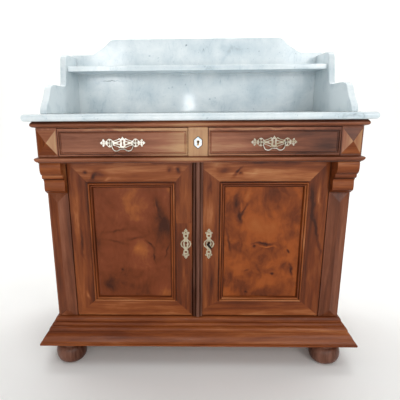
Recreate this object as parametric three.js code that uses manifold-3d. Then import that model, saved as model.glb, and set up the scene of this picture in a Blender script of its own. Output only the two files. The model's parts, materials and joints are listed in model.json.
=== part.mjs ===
// Washstand: a walnut cupboard with two drawers and two doors on turned feet, under a marble top
// with a splash back, two stepped wings and a small marble shelf.
// Millimetres. X runs to the right seen from the front, Y to the back and Z up. The origin is on
// the floor, under the middle of the marble top.

import * as THREE from 'three';
import { mergeVertices } from 'three/addons/utils/BufferGeometryUtils.js';
import { ConvexGeometry } from 'three/addons/geometries/ConvexGeometry.js';
import Module from 'manifold-3d';

const wasm = await Module();
wasm.setup();

// Clearances and facets
const seat = 0.3; // between pieces that are glued, screwed or laid on each other
const running = 0.6; // between a sliding or turning piece and what guides it
const overrun = 2; // how far a cutter or a joined piece passes its neighbour
const overlapJoin = 1; // how deep a joined piece sits in its neighbour
const sameWithin = 0.0001; // points that lie nearer than this are one point
const nosePoints = 4; // facets in a quarter round
const turnPoints = 20; // facets round a turned foot
const smallTurnPoints = 12; // facets round a pin or a post

// Marble
const slabWidth = 1000;
const slabDepth = 500;
const slabThick = 20;
const slabNose = 8;
const splashInset = 25;
const splashThick = 20;
const splashShoulderHeight = 214;
const splashCrownHeight = 268;
const splashCrownHalf = 322;
const splashCurveHalf = 390;
const wingThick = 20;
const wingSetback = 88;
const wingLowHeight = 90;
const wingHighHeight = 202;
const splashShelfSetback = 344;
const splashShelfThick = 18;
const splashShelfTop = 161;

// Case
const caseWidth = 942;
const friezeSetback = 26;
const lowerSetback = 52;
const caseBackInset = 8;
const sideThick = 18;
const backThick = 8;
const frontThick = 20;
const bottomThick = 18;
const dustThick = 18;
const topRailThick = 19;
const railDepth = 90;
const drawerOpening = 83;
const cupboardOpening = 526;
const shelfThick = 16;
const shelfHeight = 250;
const shelfSetback = 60;

// Mouldings and plinth
const corniceSpread = 10.5;
const corniceHeight = 18;
const waistSpread = 9.5;
const plinthHeight = 84;
const plinthSpread = 55;
const plinthInner = 32;
const plinthFascia = 6;
const glueBlock = 100;

// Feet
const footHeight = 80;
const footRadius = 51;
const footNeckRadius = 37;
const footCollarRadius = 41;
const footPadRadius = 27;
const footInset = 33;
const footFrontInset = 57;
const footTenonRadius = 15;
const footTenonLength = 40;

// Front stiles, corner blocks, pilasters and corbels
const centreStileWidth = 57;
const blockWidth = 61;
const pyramidRise = 11;
const pyramidMarginSide = 3;
const pyramidMarginTop = 5.2;
const pyramidMarginBottom = 4.6;
const pilasterWidth = 64;
const ridgeRise = 12;
const ridgeMargin = 5;
const ridgeHip = 27;
const corbelHeight = 102;

// Drawers
const drawerGap = 1.5;
const drawerFrontThick = 20;
const fieldSideMargin = 3.5;
const fieldTopMargin = 6.5;
const fieldQuirk = 1.5;
const fieldBead = 5;
const fieldSunk = 3.6;
const fieldBeadSunk = 1.5;
const fieldDepth = 3;
const lockDrop = 2; // of the keyholes and the pulls, under the middle of the drawer fronts
const drawerBoxSetIn = 8;
const drawerSideThick = 10;
const drawerSideHeight = 74;
const drawerBackClear = 43; // between the drawers and the back panel
const drawerBackThick = 10;
const drawerBottomThick = 6;
const drawerBottomRaise = 8;
const guideHeight = 16;
const guideSetback = 70;

// Drawer pulls
const plateWidth = 133;
const plateHeight = 31;
const plateThick = 1.6;
const rosetteRadius = 11.5;
const rosetteSpread = 38;
const postRadius = 4.2;
const postReach = 9;
const bailInset = 3.8; // from the front of the posts to the middle of the pins
const bailPinRadius = 1.4;
const bailRadius = 2;
const bailDrop = 23;
const bailKnobRadius = 4;
const bailKnobHalf = 6;
const bailHalf = 31;

// Drawer lock
const centreKeyRadius = 5;
const hexWidth = 25.5;
const hexHeight = 37;
const hexThick = 1.5;
const hexEyeRadius = 4.4;
const drawerLockWidth = 44;
const drawerLockHeight = 40;
const drawerLockThick = 10;
const latchHalf = 34.5;
const latchWidth = 10;
const latchThick = 3;
const latchSpindleRadius = 2.5;
const catchWidth = 7;
const catchHeight = 18;
const catchLength = 12;
const catchPlay = 1.5;

// Doors
const doorGap = 2.5;
const meetGap = 2;
const doorThick = 22;
const stripWidth = 31;
const stripCentre = 1.5;
const stripRise = 15;
const outerStile = 59;
const panelInnerEdge = 68.5;
const topRail = 63.5;
const bottomRail = 51.5;
const mouldingWidth = 17.5;
const mouldingRise = 8;
const mouldingInnerRise = 4;
const mouldingSunk = 4;
const panelThick = 8;
const panelLap = 6;
const pivotInset = 6;
const pivotDepth = 5;
const pivotPinRadius = 2;
const pivotPinLength = 8;
const pivotPlateLength = 46;
const pivotPlateWidth = 12;
const pivotPlateThick = 2.4;
const pivotPlateEnd = 4;
const pivotPlateFront = 3;

// Door furniture
const escutcheonHeight = 102;
const escutcheonWidth = 39;
const escutcheonThick = 1.8;
const escutcheonEyeRadius = 6.3;
const keyCentre = 37;
const keyHeightInDoor = 257;
const keyHoleRadius = 5.5;
const keyShankRadius = 2.4;
const keyReach = 16;
const keyBowRadius = 9.5;
const keyBowWire = 2;
const keyBitHeight = 7;
const keyBitWidth = 2.4;
const keyBitLength = 6;
const keyRestTurn = -0.75;
const doorLockWidth = 66;
const doorLockHeight = 56;
const doorLockThick = 13;
const doorLockWall = 3;
const doorBoltHeight = 14;
const doorBoltThick = 5;
const doorBoltLength = 32;
const edgeBoltWidth = 12;
const edgeBoltThick = 4;
const edgeBoltLength = 90;
const edgeBoltInset = 26;
const edgeBoltKnobRadius = 4;
const edgeBoltKnobReach = 8;
const edgeBoltDrop = 3;
const edgeBoltTravel = 12;

// Levels and planes worked out from the sizes above
const plinthTop = footHeight + plinthHeight;
const dustBottom = plinthTop + cupboardOpening;
const dustTop = dustBottom + dustThick;
const drawerTop = dustTop + drawerOpening;
const caseTop = drawerTop + topRailThick;
const slabTop = caseTop + slabThick;
const halfCase = caseWidth / 2;
const halfInside = halfCase - sideThick;
const frontEdge = -slabDepth / 2;
const friezeFace = frontEdge + friezeSetback;
const lowerFace = friezeFace + lowerSetback;
const caseBack = slabDepth / 2 - caseBackInset;
const backFace = caseBack - backThick;
const lockLevel = dustTop + drawerOpening / 2 - lockDrop;

// Finishes
const finish = (color, roughness, metalness = 0) =>
  new THREE.MeshStandardMaterial({ color, roughness, metalness });
const marble = finish(0xdde5e8, 0.35);
const walnut = finish(0x7c4028, 0.35);
const burl = finish(0x8a4a28, 0.3);
const darkWalnut = finish(0x5a3a2c, 0.4);
const plainWood = finish(0xb08a5a, 0.7);
const nickel = finish(0xe4dfd0, 0.3, 1);
const paleBrass = finish(0xb8ae94, 0.35, 1);
const brass = finish(0xb08d4a, 0.35, 1);
const iron = finish(0x2b2422, 0.5, 1);
const pearl = finish(0xf0f2ee, 0.25);

// Turns a shell right side out, so that its faces point away from its inside
function facingOut(geometry) {
  const p = geometry.attributes.position;
  const index = Array.from(geometry.index.array);
  let volume = 0;
  const a = new THREE.Vector3();
  const b = new THREE.Vector3();
  const c = new THREE.Vector3();
  for (let i = 0; i < index.length; i += 3) {
    a.fromBufferAttribute(p, index[i]);
    b.fromBufferAttribute(p, index[i + 1]);
    c.fromBufferAttribute(p, index[i + 2]);
    volume += a.dot(b.cross(c));
  }
  geometry.setIndex(volume < 0 ? index.reverse() : index);
  return geometry;
}

// Joins rings of points, all with the same count, into one skin. The ends are capped with the
// triangles of the 2-D outline, or the last ring joins the first when the skin is a loop.
function loft(rings, outline, isLoop = false) {
  const count = outline.length;
  const index = [];
  const joined = isLoop ? rings.length : rings.length - 1;
  for (let r = 0; r < joined; r += 1) {
    const near = r * count;
    const far = ((r + 1) % rings.length) * count;
    for (let i = 0; i < count; i += 1) {
      const j = (i + 1) % count;
      index.push(near + i, near + j, far + j, near + i, far + j, far + i);
    }
  }
  if (!isLoop) {
    const flat = outline.map(([u, v]) => new THREE.Vector2(u, v));
    const last = (rings.length - 1) * count;
    const turn = Math.sign(THREE.ShapeUtils.area(flat));
    for (const [i, j, k] of THREE.ShapeUtils.triangulateShape(flat, [])) {
      const isSame = Math.sign(THREE.ShapeUtils.area([flat[i], flat[j], flat[k]])) === turn;
      const [a, b, c] = isSame ? [i, j, k] : [i, k, j];
      index.push(a, c, b);
      index.push(last + a, last + b, last + c);
    }
  }
  const geometry = new THREE.BufferGeometry();
  geometry.setAttribute('position', new THREE.Float32BufferAttribute(rings.flat(2), 3));
  geometry.setIndex(index);
  return facingOut(geometry);
}

// Solids that can be joined and cut
function solid(geometry) {
  const bare = geometry.clone();
  bare.deleteAttribute('normal');
  bare.deleteAttribute('uv');
  const merged = mergeVertices(bare, sameWithin);
  const mesh = new wasm.Mesh({
    numProp: 3,
    vertProperties: new Float32Array(merged.attributes.position.array),
    triVerts: new Uint32Array(merged.index.array),
  });
  return new wasm.Manifold(mesh);
}

function shell(manifold) {
  const mesh = manifold.getMesh();
  const geometry = new THREE.BufferGeometry();
  geometry.setAttribute('position', new THREE.Float32BufferAttribute(mesh.vertProperties, 3));
  geometry.setIndex(Array.from(mesh.triVerts));
  return geometry;
}

const join = (first, ...others) => shell(others.reduce((sum, g) => sum.add(solid(g)), solid(first)));
const cut = (first, ...others) => shell(others.reduce((rest, g) => rest.subtract(solid(g)), solid(first)));

const ordered = (a, b) => [Math.min(a, b), Math.max(a, b)];

// A block between two values on each axis
function block([x0, x1], [y0, y1], [z0, z1]) {
  const geometry = new THREE.BoxGeometry(x1 - x0, y1 - y0, z1 - z0);
  return geometry.translate((x0 + x1) / 2, (y0 + y1) / 2, (z0 + z1) / 2);
}

// A round bar along one axis, centred on a point
function bar(radius, length, axis, [x, y, z], points = smallTurnPoints) {
  const geometry = new THREE.CylinderGeometry(radius, radius, length, points);
  if (axis === 'x') geometry.rotateZ(Math.PI / 2);
  if (axis === 'z') geometry.rotateX(Math.PI / 2);
  return geometry.translate(x, y, z);
}

// A flat outline given as [across, up], extruded to the back by its depth
function upright(shape, depth) {
  const geometry = new THREE.ExtrudeGeometry(shape, { depth, bevelEnabled: false, curveSegments: 6 });
  return geometry.rotateX(Math.PI / 2).translate(0, depth, 0);
}

// A side view given as [to the back, up], extruded to the right by its width
function sideways(shape, width) {
  const geometry = new THREE.ExtrudeGeometry(shape, { depth: width, bevelEnabled: false, curveSegments: 5 });
  const turn = new THREE.Matrix4().makeBasis(
    new THREE.Vector3(0, 1, 0),
    new THREE.Vector3(0, 0, 1),
    new THREE.Vector3(1, 0, 0),
  );
  return geometry.applyMatrix4(turn);
}

// A plan given as [right, back], extruded upwards by its thickness
function plan(shape, thick) {
  return new THREE.ExtrudeGeometry(shape, { depth: thick, bevelEnabled: false, curveSegments: 6 });
}

const outline = (points) => new THREE.Shape(points.map(([u, v]) => new THREE.Vector2(u, v)));
const hole = (points) => new THREE.Path(points.map(([u, v]) => new THREE.Vector2(u, v)));

// Points of an arc given by its centre, its two radii and its end angles in degrees
function arc(centreU, centreV, radiusU, radiusV, from, to, steps = nosePoints) {
  const points = [];
  for (let i = 0; i <= steps; i += 1) {
    const angle = THREE.MathUtils.degToRad(from + ((to - from) * i) / steps);
    points.push([centreU + radiusU * Math.cos(angle), centreV + radiusV * Math.sin(angle)]);
  }
  return points;
}

// Runs a profile, given as [outwards, up], round both sides and the front of the case
function threeSided(profile, half, front, back) {
  const station = (side, atFront) =>
    profile.map(([out, up]) => [side * (half + out), atFront ? front - out : back, up]);
  const rings = [station(-1, false), station(-1, true), station(1, true), station(1, false)];
  return loft(rings, profile);
}

// Runs a profile, given as [inwards, forwards], round an upright rectangle
function framed(profile, width, height) {
  const corner = (right, up) =>
    profile.map(([inward, forward]) => [right * (width / 2 - inward), -forward, up * (height / 2 - inward)]);
  return loft([corner(-1, -1), corner(1, -1), corner(1, 1), corner(-1, 1)], profile, true);
}

// An upright board whose front steps through rectangles, given as [side inset, top inset, depth]
function steppedBoard(width, height, thick, steps) {
  const rectangle = ([across, up, y]) => [
    [-width / 2 + across, y, -height / 2 + up],
    [width / 2 - across, y, -height / 2 + up],
    [width / 2 - across, y, height / 2 - up],
    [-width / 2 + across, y, height / 2 - up],
  ];
  const rings = [[0, 0, thick], [0, 0, 0], ...steps].map(rectangle);
  return loft(rings, rings[0].map(([x, , z]) => [x, z]));
}

const washstand = new THREE.Group();

function piece(name, geometry, material, parent = washstand, place = [0, 0, 0]) {
  const mesh = new THREE.Mesh(geometry, material);
  mesh.name = name;
  mesh.position.set(...place);
  parent.add(mesh);
  return mesh;
}

function assembly(place, parent = washstand) {
  const group = new THREE.Group();
  group.position.set(...place);
  parent.add(group);
  return group;
}

const sides = [['left', -1], ['right', 1]];

// Marble top: a slab whose front and side edges are a full round nose
function marbleTop() {
  const profile = arc(0, 0, slabNose, slabThick / 2, -90, 90, 2 * nosePoints);
  const half = slabWidth / 2 - slabNose;
  const rings = profile.map(([out, up]) => [
    [-half - out, slabDepth / 2, up],
    [-half - out, frontEdge + slabNose - out, up],
    [half + out, frontEdge + slabNose - out, up],
    [half + out, slabDepth / 2, up],
  ]);
  piece('marble_top', loft(rings, rings[0].map(([x, y]) => [x, y])), marble, washstand,
    [0, 0, slabTop - slabThick / 2]);
}

// Splash back: two low shoulders that sweep up to a wide crown
function splashBack() {
  const half = slabWidth / 2 - splashInset;
  const rise = splashCrownHeight - splashShoulderHeight;
  const shape = new THREE.Shape();
  shape.moveTo(-half, seat);
  shape.lineTo(half, seat);
  shape.lineTo(half, splashShoulderHeight);
  shape.lineTo(splashCurveHalf, splashShoulderHeight);
  shape.bezierCurveTo(
    splashCurveHalf - rise / 5, splashShoulderHeight + rise / 4,
    splashCrownHalf + rise / 2, splashCrownHeight - rise / 2,
    splashCrownHalf, splashCrownHeight,
  );
  shape.lineTo(-splashCrownHalf, splashCrownHeight);
  shape.bezierCurveTo(
    -splashCrownHalf - rise / 2, splashCrownHeight - rise / 2,
    -splashCurveHalf + rise / 5, splashShoulderHeight + rise / 4,
    -splashCurveHalf, splashShoulderHeight,
  );
  shape.lineTo(-half, splashShoulderHeight);
  piece('splash_back', upright(shape, splashThick), marble, washstand,
    [0, slabDepth / 2 - splashThick, slabTop]);
}

// Wings: each sweeps up from the slab to a low step, and again to a tall one. The tables are shares
// of the wing's depth, and of its low height and of the rise between its two heights.
const wingDepth = slabDepth - splashThick - wingSetback - seat;
const wingSweepShares = [
  [0, 0.003], [0.004, 0.14], [0.03, 0.29], [0.075, 0.46], [0.115, 0.67], [0.145, 0.86], [0.185, 0.955], [0.25, 1],
];
const wingRiserShares = [
  [0.53, 0], [0.556, 0.05], [0.574, 0.16], [0.594, 0.45], [0.618, 0.78], [0.64, 0.91], [0.68, 0.975], [0.76, 1],
];
const wingSweepSteps = 12;
function splashWings() {
  const rise = wingHighHeight - wingLowHeight;
  const sweep = wingSweepShares.map(([u, v]) => new THREE.Vector2(u * wingDepth, v * wingLowHeight));
  const riser = wingRiserShares.map(([u, v]) => new THREE.Vector2(u * wingDepth, wingLowHeight + v * rise));
  const top = [
    ...new THREE.SplineCurve(sweep).getPoints(wingSweepSteps),
    ...new THREE.SplineCurve(riser).getPoints(wingSweepSteps),
  ].map((p) => [p.x, Math.max(p.y, seat)]);
  const shape = outline([...top, [wingDepth, wingHighHeight], [wingDepth, seat]]);
  for (const [name, side] of sides) {
    const inner = slabWidth / 2 - splashInset - wingThick;
    const left = side < 0 ? -inner - wingThick : inner;
    piece(`splash_wing_${name}`, sideways(shape, wingThick), marble, washstand,
      [left, frontEdge + wingSetback, slabTop]);
  }
}

// Small marble shelf between the wings
function splashShelf() {
  const half = slabWidth / 2 - splashInset - wingThick - seat;
  const front = frontEdge + splashShelfSetback;
  const back = slabDepth / 2 - splashThick - seat;
  const top = slabTop + splashShelfTop;
  piece('splash_shelf', block([-half, half], [front, back], [top - splashShelfThick, top]), marble);
}

// Sides of the case: deep at the drawers and set back behind the pilasters below
function caseSides() {
  const upperFront = friezeFace + frontThick + seat;
  const lowerFront = lowerFace + frontThick + seat;
  const shape = outline([
    [lowerFront, plinthTop + seat],
    [caseBack, plinthTop + seat],
    [caseBack, caseTop - seat],
    [upperFront, caseTop - seat],
    [upperFront, dustBottom - seat],
    [lowerFront, dustBottom - seat],
  ]);
  for (const [name, side] of sides) {
    const left = side < 0 ? -halfCase : halfInside;
    piece(`side_${name}`, sideways(shape, sideThick), walnut, washstand, [left, 0, 0]);
  }
}

function backPanel() {
  const half = halfInside - seat;
  piece('back_panel', block([-half, half], [backFace, caseBack], [plinthTop + seat, caseTop - seat]), plainWood);
}

// Bottom board with the lower sockets of the door pivots
const pivotX = halfCase - pilasterWidth - doorGap - pivotInset;
const pivotY = lowerFace + pivotDepth;
const socketRadius = pivotPinRadius + running;
const socketDepth = pivotPinLength + doorGap;
function pivotSocket(side, face, direction) {
  const middle = face + (direction * (overrun - socketDepth)) / 2;
  return bar(socketRadius, socketDepth + overrun, 'z', [side * pivotX, pivotY, middle]);
}

function bottomBoard() {
  const board = block([-halfCase, halfCase], [lowerFace, caseBack], [plinthTop - bottomThick, plinthTop]);
  piece('bottom_board', cut(board, pivotSocket(-1, plinthTop, 1), pivotSocket(1, plinthTop, 1)), walnut);
}

// Dust board under the drawers, with the glued strips that guide them and the upper pivot sockets
const drawerOuter = halfCase - blockWidth - drawerGap;
const drawerInner = centreStileWidth / 2 + drawerGap;
const boxOuter = drawerOuter - drawerBoxSetIn;
const boxInner = drawerInner + drawerBoxSetIn;
const edgeBoltX = stripCentre - stripWidth / 2 - meetGap - edgeBoltInset;
const edgeBoltY = lowerFace + doorThick + seat + edgeBoltThick / 2 + running;
function dustBoard() {
  const wide = halfCase;
  const narrow = halfInside - seat;
  const step = friezeFace + frontThick;
  const shape = outline([
    [-wide, friezeFace], [wide, friezeFace], [wide, step], [narrow, step],
    [narrow, backFace - seat], [-narrow, backFace - seat], [-narrow, step], [-wide, step],
  ]);
  const board = plan(shape, dustThick).translate(0, 0, dustBottom);
  const from = friezeFace + guideSetback;
  const to = backFace - drawerBackClear;
  const level = [dustTop - overlapJoin, dustTop + guideHeight];
  const strips = [
    block([-narrow, -boxOuter - running], [from, to], level),
    block([-boxInner + running, boxInner - running], [from, to], level),
    block([boxOuter + running, narrow], [from, to], level),
  ];
  const boltSocket = block(
    [edgeBoltX - edgeBoltWidth / 2 - running, edgeBoltX + edgeBoltWidth / 2 + running],
    [edgeBoltY - edgeBoltThick / 2 - running, edgeBoltY + edgeBoltThick / 2 + running],
    [dustBottom - overrun, dustBottom - doorGap - edgeBoltDrop + edgeBoltTravel + running],
  );
  const joined = join(board, ...strips);
  piece('dust_board', cut(joined, pivotSocket(-1, dustBottom, -1), pivotSocket(1, dustBottom, -1), boltSocket),
    walnut);
}

// Frame that ties the top of the case and carries the marble
function topFrame() {
  const wide = halfCase;
  const narrow = halfInside - seat;
  const step = friezeFace + frontThick;
  const shape = outline([
    [-wide, friezeFace], [wide, friezeFace], [wide, step], [narrow, step],
    [narrow, backFace - seat], [-narrow, backFace - seat], [-narrow, step], [-wide, step],
  ]);
  const halfHole = halfInside - railDepth / 2;
  shape.holes.push(hole([
    [-halfHole, friezeFace + railDepth], [-halfHole, backFace - railDepth],
    [halfHole, backFace - railDepth], [halfHole, friezeFace + railDepth],
  ]));
  piece('top_frame', plan(shape, topRailThick - seat), walnut, washstand, [0, 0, drawerTop]);
}

function cupboardShelf() {
  const half = halfInside - seat;
  const bottom = plinthTop + shelfHeight;
  const front = lowerFace + shelfSetback;
  piece('cupboard_shelf', block([-half, half], [front, backFace - seat], [bottom, bottom + shelfThick]), plainWood);
}

// Cornice under the marble and waist moulding over the edge of the dust board. Their faces are
// shares of the spread and of the height, from the bottom up.
const corniceShares = [
  [0.3, 0], [0.4, 0.08], [0.6, 0.14], [0.88, 0.26], [1, 0.48], [0.9, 0.68], [0.58, 0.8], [0.5, 1],
];
const waistShares = [
  [0.2, 0], [0.26, 0.14], [0.5, 0.24], [0.88, 0.46], [1, 0.66], [0.92, 0.8], [0.64, 0.87], [0.5, 0.91], [0.1, 0.97],
];
function faceMoulding(name, shares, spread, height, bottom) {
  const face = shares.map(([out, up]) => [out * spread, up * height]);
  const top = face[face.length - 1][1];
  const profile = [[seat, 0], ...face, [seat, top]];
  piece(name, threeSided(profile, halfCase, friezeFace, caseBack), walnut, washstand, [0, 0, bottom]);
}

// Plinth: one frame of moulded boards, mitred at the front, with glue blocks for the feet
// The beads end at these shares of the spread and of the height. The ogee below them runs on as far
// as the fascia.
const plinthBeadShares = [[0.03, 0], [0.2, 0.2], [0.34, 0.34], [0.53, 0.53]];
const plinthGrooveShare = 0.03;
const plinthOgeeShares = [[0.07, 0.02], [0.25, 0.15], [0.44, 0.36], [0.6, 0.62], [0.76, 0.86], [0.88, 0.97], [1, 1]];
function plinthProfile() {
  const out = (share) => share * plinthSpread + seat;
  const level = (share) => plinthHeight * (1 - share);
  const points = [[seat, plinthHeight]];
  plinthBeadShares.slice(1).forEach(([outTo, downTo], i) => {
    const [outFrom, downFrom] = plinthBeadShares[i];
    const bottom = level(downTo) + plinthHeight * plinthGrooveShare;
    const wide = out(outTo) - out(outFrom);
    points.push(...arc(out(outFrom), bottom, wide, level(downFrom) - bottom, 90, 0, 3));
  });
  const [ogeeOut, ogeeDown] = plinthBeadShares[plinthBeadShares.length - 1];
  points.push([out(ogeeOut), level(ogeeDown)]);
  for (const [across, down] of plinthOgeeShares) {
    points.push([
      out(ogeeOut) + across * (plinthSpread - out(ogeeOut)),
      level(ogeeDown) - down * (level(ogeeDown) - plinthFascia),
    ]);
  }
  points.push([plinthSpread, 0]);
  points.push([-plinthInner, 0]);
  points.push([-plinthInner, plinthHeight - bottomThick - seat]);
  points.push([seat, plinthHeight - bottomThick - seat]);
  return points;
}

const footX = halfCase - footInset;
const footFrontY = lowerFace - plinthSpread + footFrontInset;
const footBackY = caseBack - footFrontInset;
function plinthFrame() {
  const ring = threeSided(plinthProfile(), halfCase, lowerFace, caseBack);
  const top = plinthHeight - bottomThick - seat;
  const inside = halfCase - plinthInner;
  const rear = block([-inside - overlapJoin, inside + overlapJoin], [caseBack - frontThick, caseBack], [0, top]);
  const blocks = [];
  for (const [, side] of sides) {
    const across = ordered(side * (inside + overlapJoin), side * (inside - glueBlock));
    const front = lowerFace + plinthInner - overlapJoin;
    blocks.push(block(across, [front, front + glueBlock], [0, top]));
    blocks.push(block(across, [caseBack - glueBlock, caseBack - overlapJoin], [0, top]));
  }
  const bores = [];
  for (const [, side] of sides) {
    for (const y of [footFrontY, footBackY]) {
      const depth = footTenonLength + overrun;
      bores.push(bar(footTenonRadius + seat, depth + overrun, 'z', [side * footX, y, (depth - overrun) / 2],
        turnPoints));
    }
  }
  piece('plinth_frame', cut(join(ring, rear, ...blocks), ...bores), walnut, washstand, [0, 0, footHeight]);
}

// Turned bun feet with a collar and a tenon. The shares are of the foot's height.
const footBellyShare = 0.41;
const footShoulderShare = 0.77;
const footCollarShares = [0.85, 0.976];
function feet() {
  const belly = footHeight * footBellyShare;
  const shoulder = footHeight * (footShoulderShare - footBellyShare);
  const lower = arc(footPadRadius, belly, footRadius - footPadRadius, belly, -90, 0, 5);
  const upper = arc(footNeckRadius, belly, footRadius - footNeckRadius, shoulder, 0, 90, 4);
  const profile = [
    [0, 0],
    ...lower,
    ...upper.slice(1),
    ...footCollarShares.map((share) => [footCollarRadius, footHeight * share]),
    [footNeckRadius, footHeight - seat],
    [footTenonRadius, footHeight - seat],
    [footTenonRadius, footHeight + footTenonLength],
    [0, footHeight + footTenonLength],
  ];
  const foot = new THREE.LatheGeometry(profile.map(([r, z]) => new THREE.Vector2(r, z)), turnPoints)
    .rotateX(Math.PI / 2);
  for (const [name, side] of sides) {
    piece(`foot_front_${name}`, foot, darkWalnut, washstand, [side * footX, footFrontY, 0]);
    piece(`foot_back_${name}`, foot, darkWalnut, washstand, [side * footX, footBackY, 0]);
  }
}

// Corner blocks of the frieze, each with a diamond point
function cornerBlocks() {
  const height = drawerOpening - 2 * seat;
  const halfWidth = blockWidth / 2;
  const baseX = halfWidth - pyramidMarginSide;
  const low = -height / 2 + pyramidMarginBottom;
  const high = height / 2 - pyramidMarginTop;
  const body = block([-halfWidth, halfWidth], [0, frontThick], [-height / 2, height / 2]);
  const corners = [[-baseX, low], [baseX, low], [baseX, high], [-baseX, high]];
  const point = new ConvexGeometry([
    ...corners.map(([x, z]) => new THREE.Vector3(x, 0, z)),
    ...corners.map(([x, z]) => new THREE.Vector3(x, overlapJoin, z)),
    new THREE.Vector3(0, -pyramidRise, (low + high) / 2),
  ]);
  const diamond = join(body, point);
  for (const [name, side] of sides) {
    piece(`corner_block_${name}`, diamond, walnut, washstand,
      [side * (halfCase - halfWidth), friezeFace, dustTop + drawerOpening / 2]);
  }
}

// Centre stile of the frieze, bored for the key of the drawer lock
function centreStile() {
  const half = centreStileWidth / 2;
  const body = block([-half, half], [friezeFace, friezeFace + frontThick], [dustTop + seat, drawerTop - seat]);
  const bore = bar(centreKeyRadius, frontThick + 2 * overrun, 'y', [0, friezeFace + frontThick / 2, lockLevel]);
  piece('centre_stile', cut(body, bore), walnut);
}

// Pilasters: flat boards that carry a long ridge with hipped ends
function pilasters() {
  const bottom = plinthTop + seat;
  const top = dustBottom - seat;
  const half = pilasterWidth / 2;
  const ridgeHalf = half - ridgeMargin;
  const ridgeTop = dustBottom - corbelHeight - 2 * seat;
  const board = block([-half, half], [0, frontThick], [bottom, top]);
  const corners = [[-ridgeHalf, bottom], [ridgeHalf, bottom], [ridgeHalf, ridgeTop], [-ridgeHalf, ridgeTop]];
  const ridge = new ConvexGeometry([
    ...corners.map(([x, z]) => new THREE.Vector3(x, 0, z)),
    ...corners.map(([x, z]) => new THREE.Vector3(x, overlapJoin, z)),
    new THREE.Vector3(0, -ridgeRise, bottom + ridgeHip),
    new THREE.Vector3(0, -ridgeRise, ridgeTop - ridgeHip),
  ]);
  const hipped = join(board, ridge);
  for (const [name, side] of sides) {
    piece(`pilaster_${name}`, hipped, walnut, washstand, [side * (halfCase - half), lowerFace, 0]);
  }
}

// Corbels: two round bulges, the upper one further out, with a fillet between them. The levels are
// shares of the corbel's height from the top down, and the depths shares of its reach from the front.
const corbelUpperShare = 0.31;
const corbelNeckShare = 0.38;
const corbelFilletShares = [0.44, 0.48];
const corbelLowerShare = 0.84;
const corbelToeShare = 0.97;
const corbelBulgeShare = 0.26;
const corbelFilletInShare = 0.44;
const corbelLowerInShare = 0.48;
function corbels() {
  const reach = lowerSetback - seat;
  const top = -seat;
  const at = (share) => -share * corbelHeight;
  const [filletTop, filletBottom] = corbelFilletShares;
  const upperMiddle = at(corbelUpperShare / 2);
  const lowerMiddle = at((filletBottom + corbelLowerShare) / 2);
  const upperHalf = (corbelUpperShare * corbelHeight) / 2;
  const lowerHalf = ((corbelLowerShare - filletBottom) * corbelHeight) / 2;
  const filletIn = reach * corbelFilletInShare;
  const lowerIn = reach * corbelLowerInShare;
  const bulgeDepth = reach * corbelBulgeShare;
  const profile = [
    [reach, top],
    [bulgeDepth / 3, top],
    ...arc(bulgeDepth, upperMiddle, bulgeDepth, upperHalf, 140, 265, 6),
    [filletIn - bulgeDepth / 3, at(corbelUpperShare) - overlapJoin],
    [filletIn - bulgeDepth / 3, at(corbelNeckShare)],
    [filletIn, at(filletTop)],
    [filletIn, at(filletBottom)],
    ...arc(lowerIn + bulgeDepth, lowerMiddle, bulgeDepth, lowerHalf, 105, 240, 6),
    [reach - bulgeDepth / 3, at(corbelToeShare)],
    [reach, at(1)],
  ];
  const width = pilasterWidth - seat;
  for (const [name, side] of sides) {
    const left = side < 0 ? -halfCase : halfCase - width;
    piece(`corbel_${name}`, sideways(outline(profile), width), walnut, washstand, [left, friezeFace, dustBottom]);
  }
}

// Drawer pulls: a pierced plate with two posts, and a bail that swings in them. The tables are
// shares of half the plate's width and half its height: a quarter of its outline, then its piercings.
const plateTipShares = [[1, 0], [0.93, 0.3], [0.86, 0.62], [0.8, 0.3]];
const plateCentreShares = [[0.26, 0.3], [0.2, 0.78], [0.1, 0.86], [0.05, 1]];
const plateKeyholeShares = [[-0.04, -0.56], [0.04, -0.56], [0.05, 0.24], [0, 0.52], [-0.05, 0.24]];
const plateSlotShares = [[0.14, -0.12], [0.36, 0], [0.14, 0.12]];
const onPlate = ([u, v]) => [(u * plateWidth) / 2, (v * plateHeight) / 2];
function pierced() {
  const quarter = [
    ...plateTipShares.map(onPlate),
    ...arc(rosetteSpread, 0, rosetteRadius, rosetteRadius, 20, 160, 5),
    ...plateCentreShares.map(onPlate),
  ];
  const half = [...quarter, ...quarter.map(([u, v]) => [-u, v]).reverse()];
  const lower = half.slice(1, -1).map(([u, v]) => [u, -v]).reverse();
  const shape = outline([...half, ...lower]);
  shape.holes.push(hole(plateKeyholeShares.map(onPlate)));
  for (const [, side] of sides) {
    shape.holes.push(hole(plateSlotShares.map(onPlate).map(([u, v]) => [side * u, v])));
  }
  return shape;
}

function drawerPull(name, parent, place) {
  const plate = upright(pierced(), plateThick).translate(0, -plateThick - seat, 0);
  const postLength = postReach + overlapJoin;
  const postMiddle = -plateThick - seat - postReach / 2 + overlapJoin / 2;
  const bailAxis = -plateThick - seat - postReach + bailInset;
  const posts = [];
  const bores = [];
  for (const [, side] of sides) {
    posts.push(bar(postRadius, postLength, 'y', [side * rosetteSpread, postMiddle, 0]));
    const boreFrom = rosetteSpread - postRadius - overrun;
    const boreTo = rosetteSpread + running;
    bores.push(bar(bailPinRadius + running / 2, boreTo - boreFrom, 'x',
      [(side * (boreFrom + boreTo)) / 2, bailAxis, 0], 8));
  }
  piece(`pull_plate_${name}`, cut(join(plate, ...posts), ...bores), nickel, parent, place);
  bail(name, parent, [place[0], place[1] + bailAxis, place[2]]);
}

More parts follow.
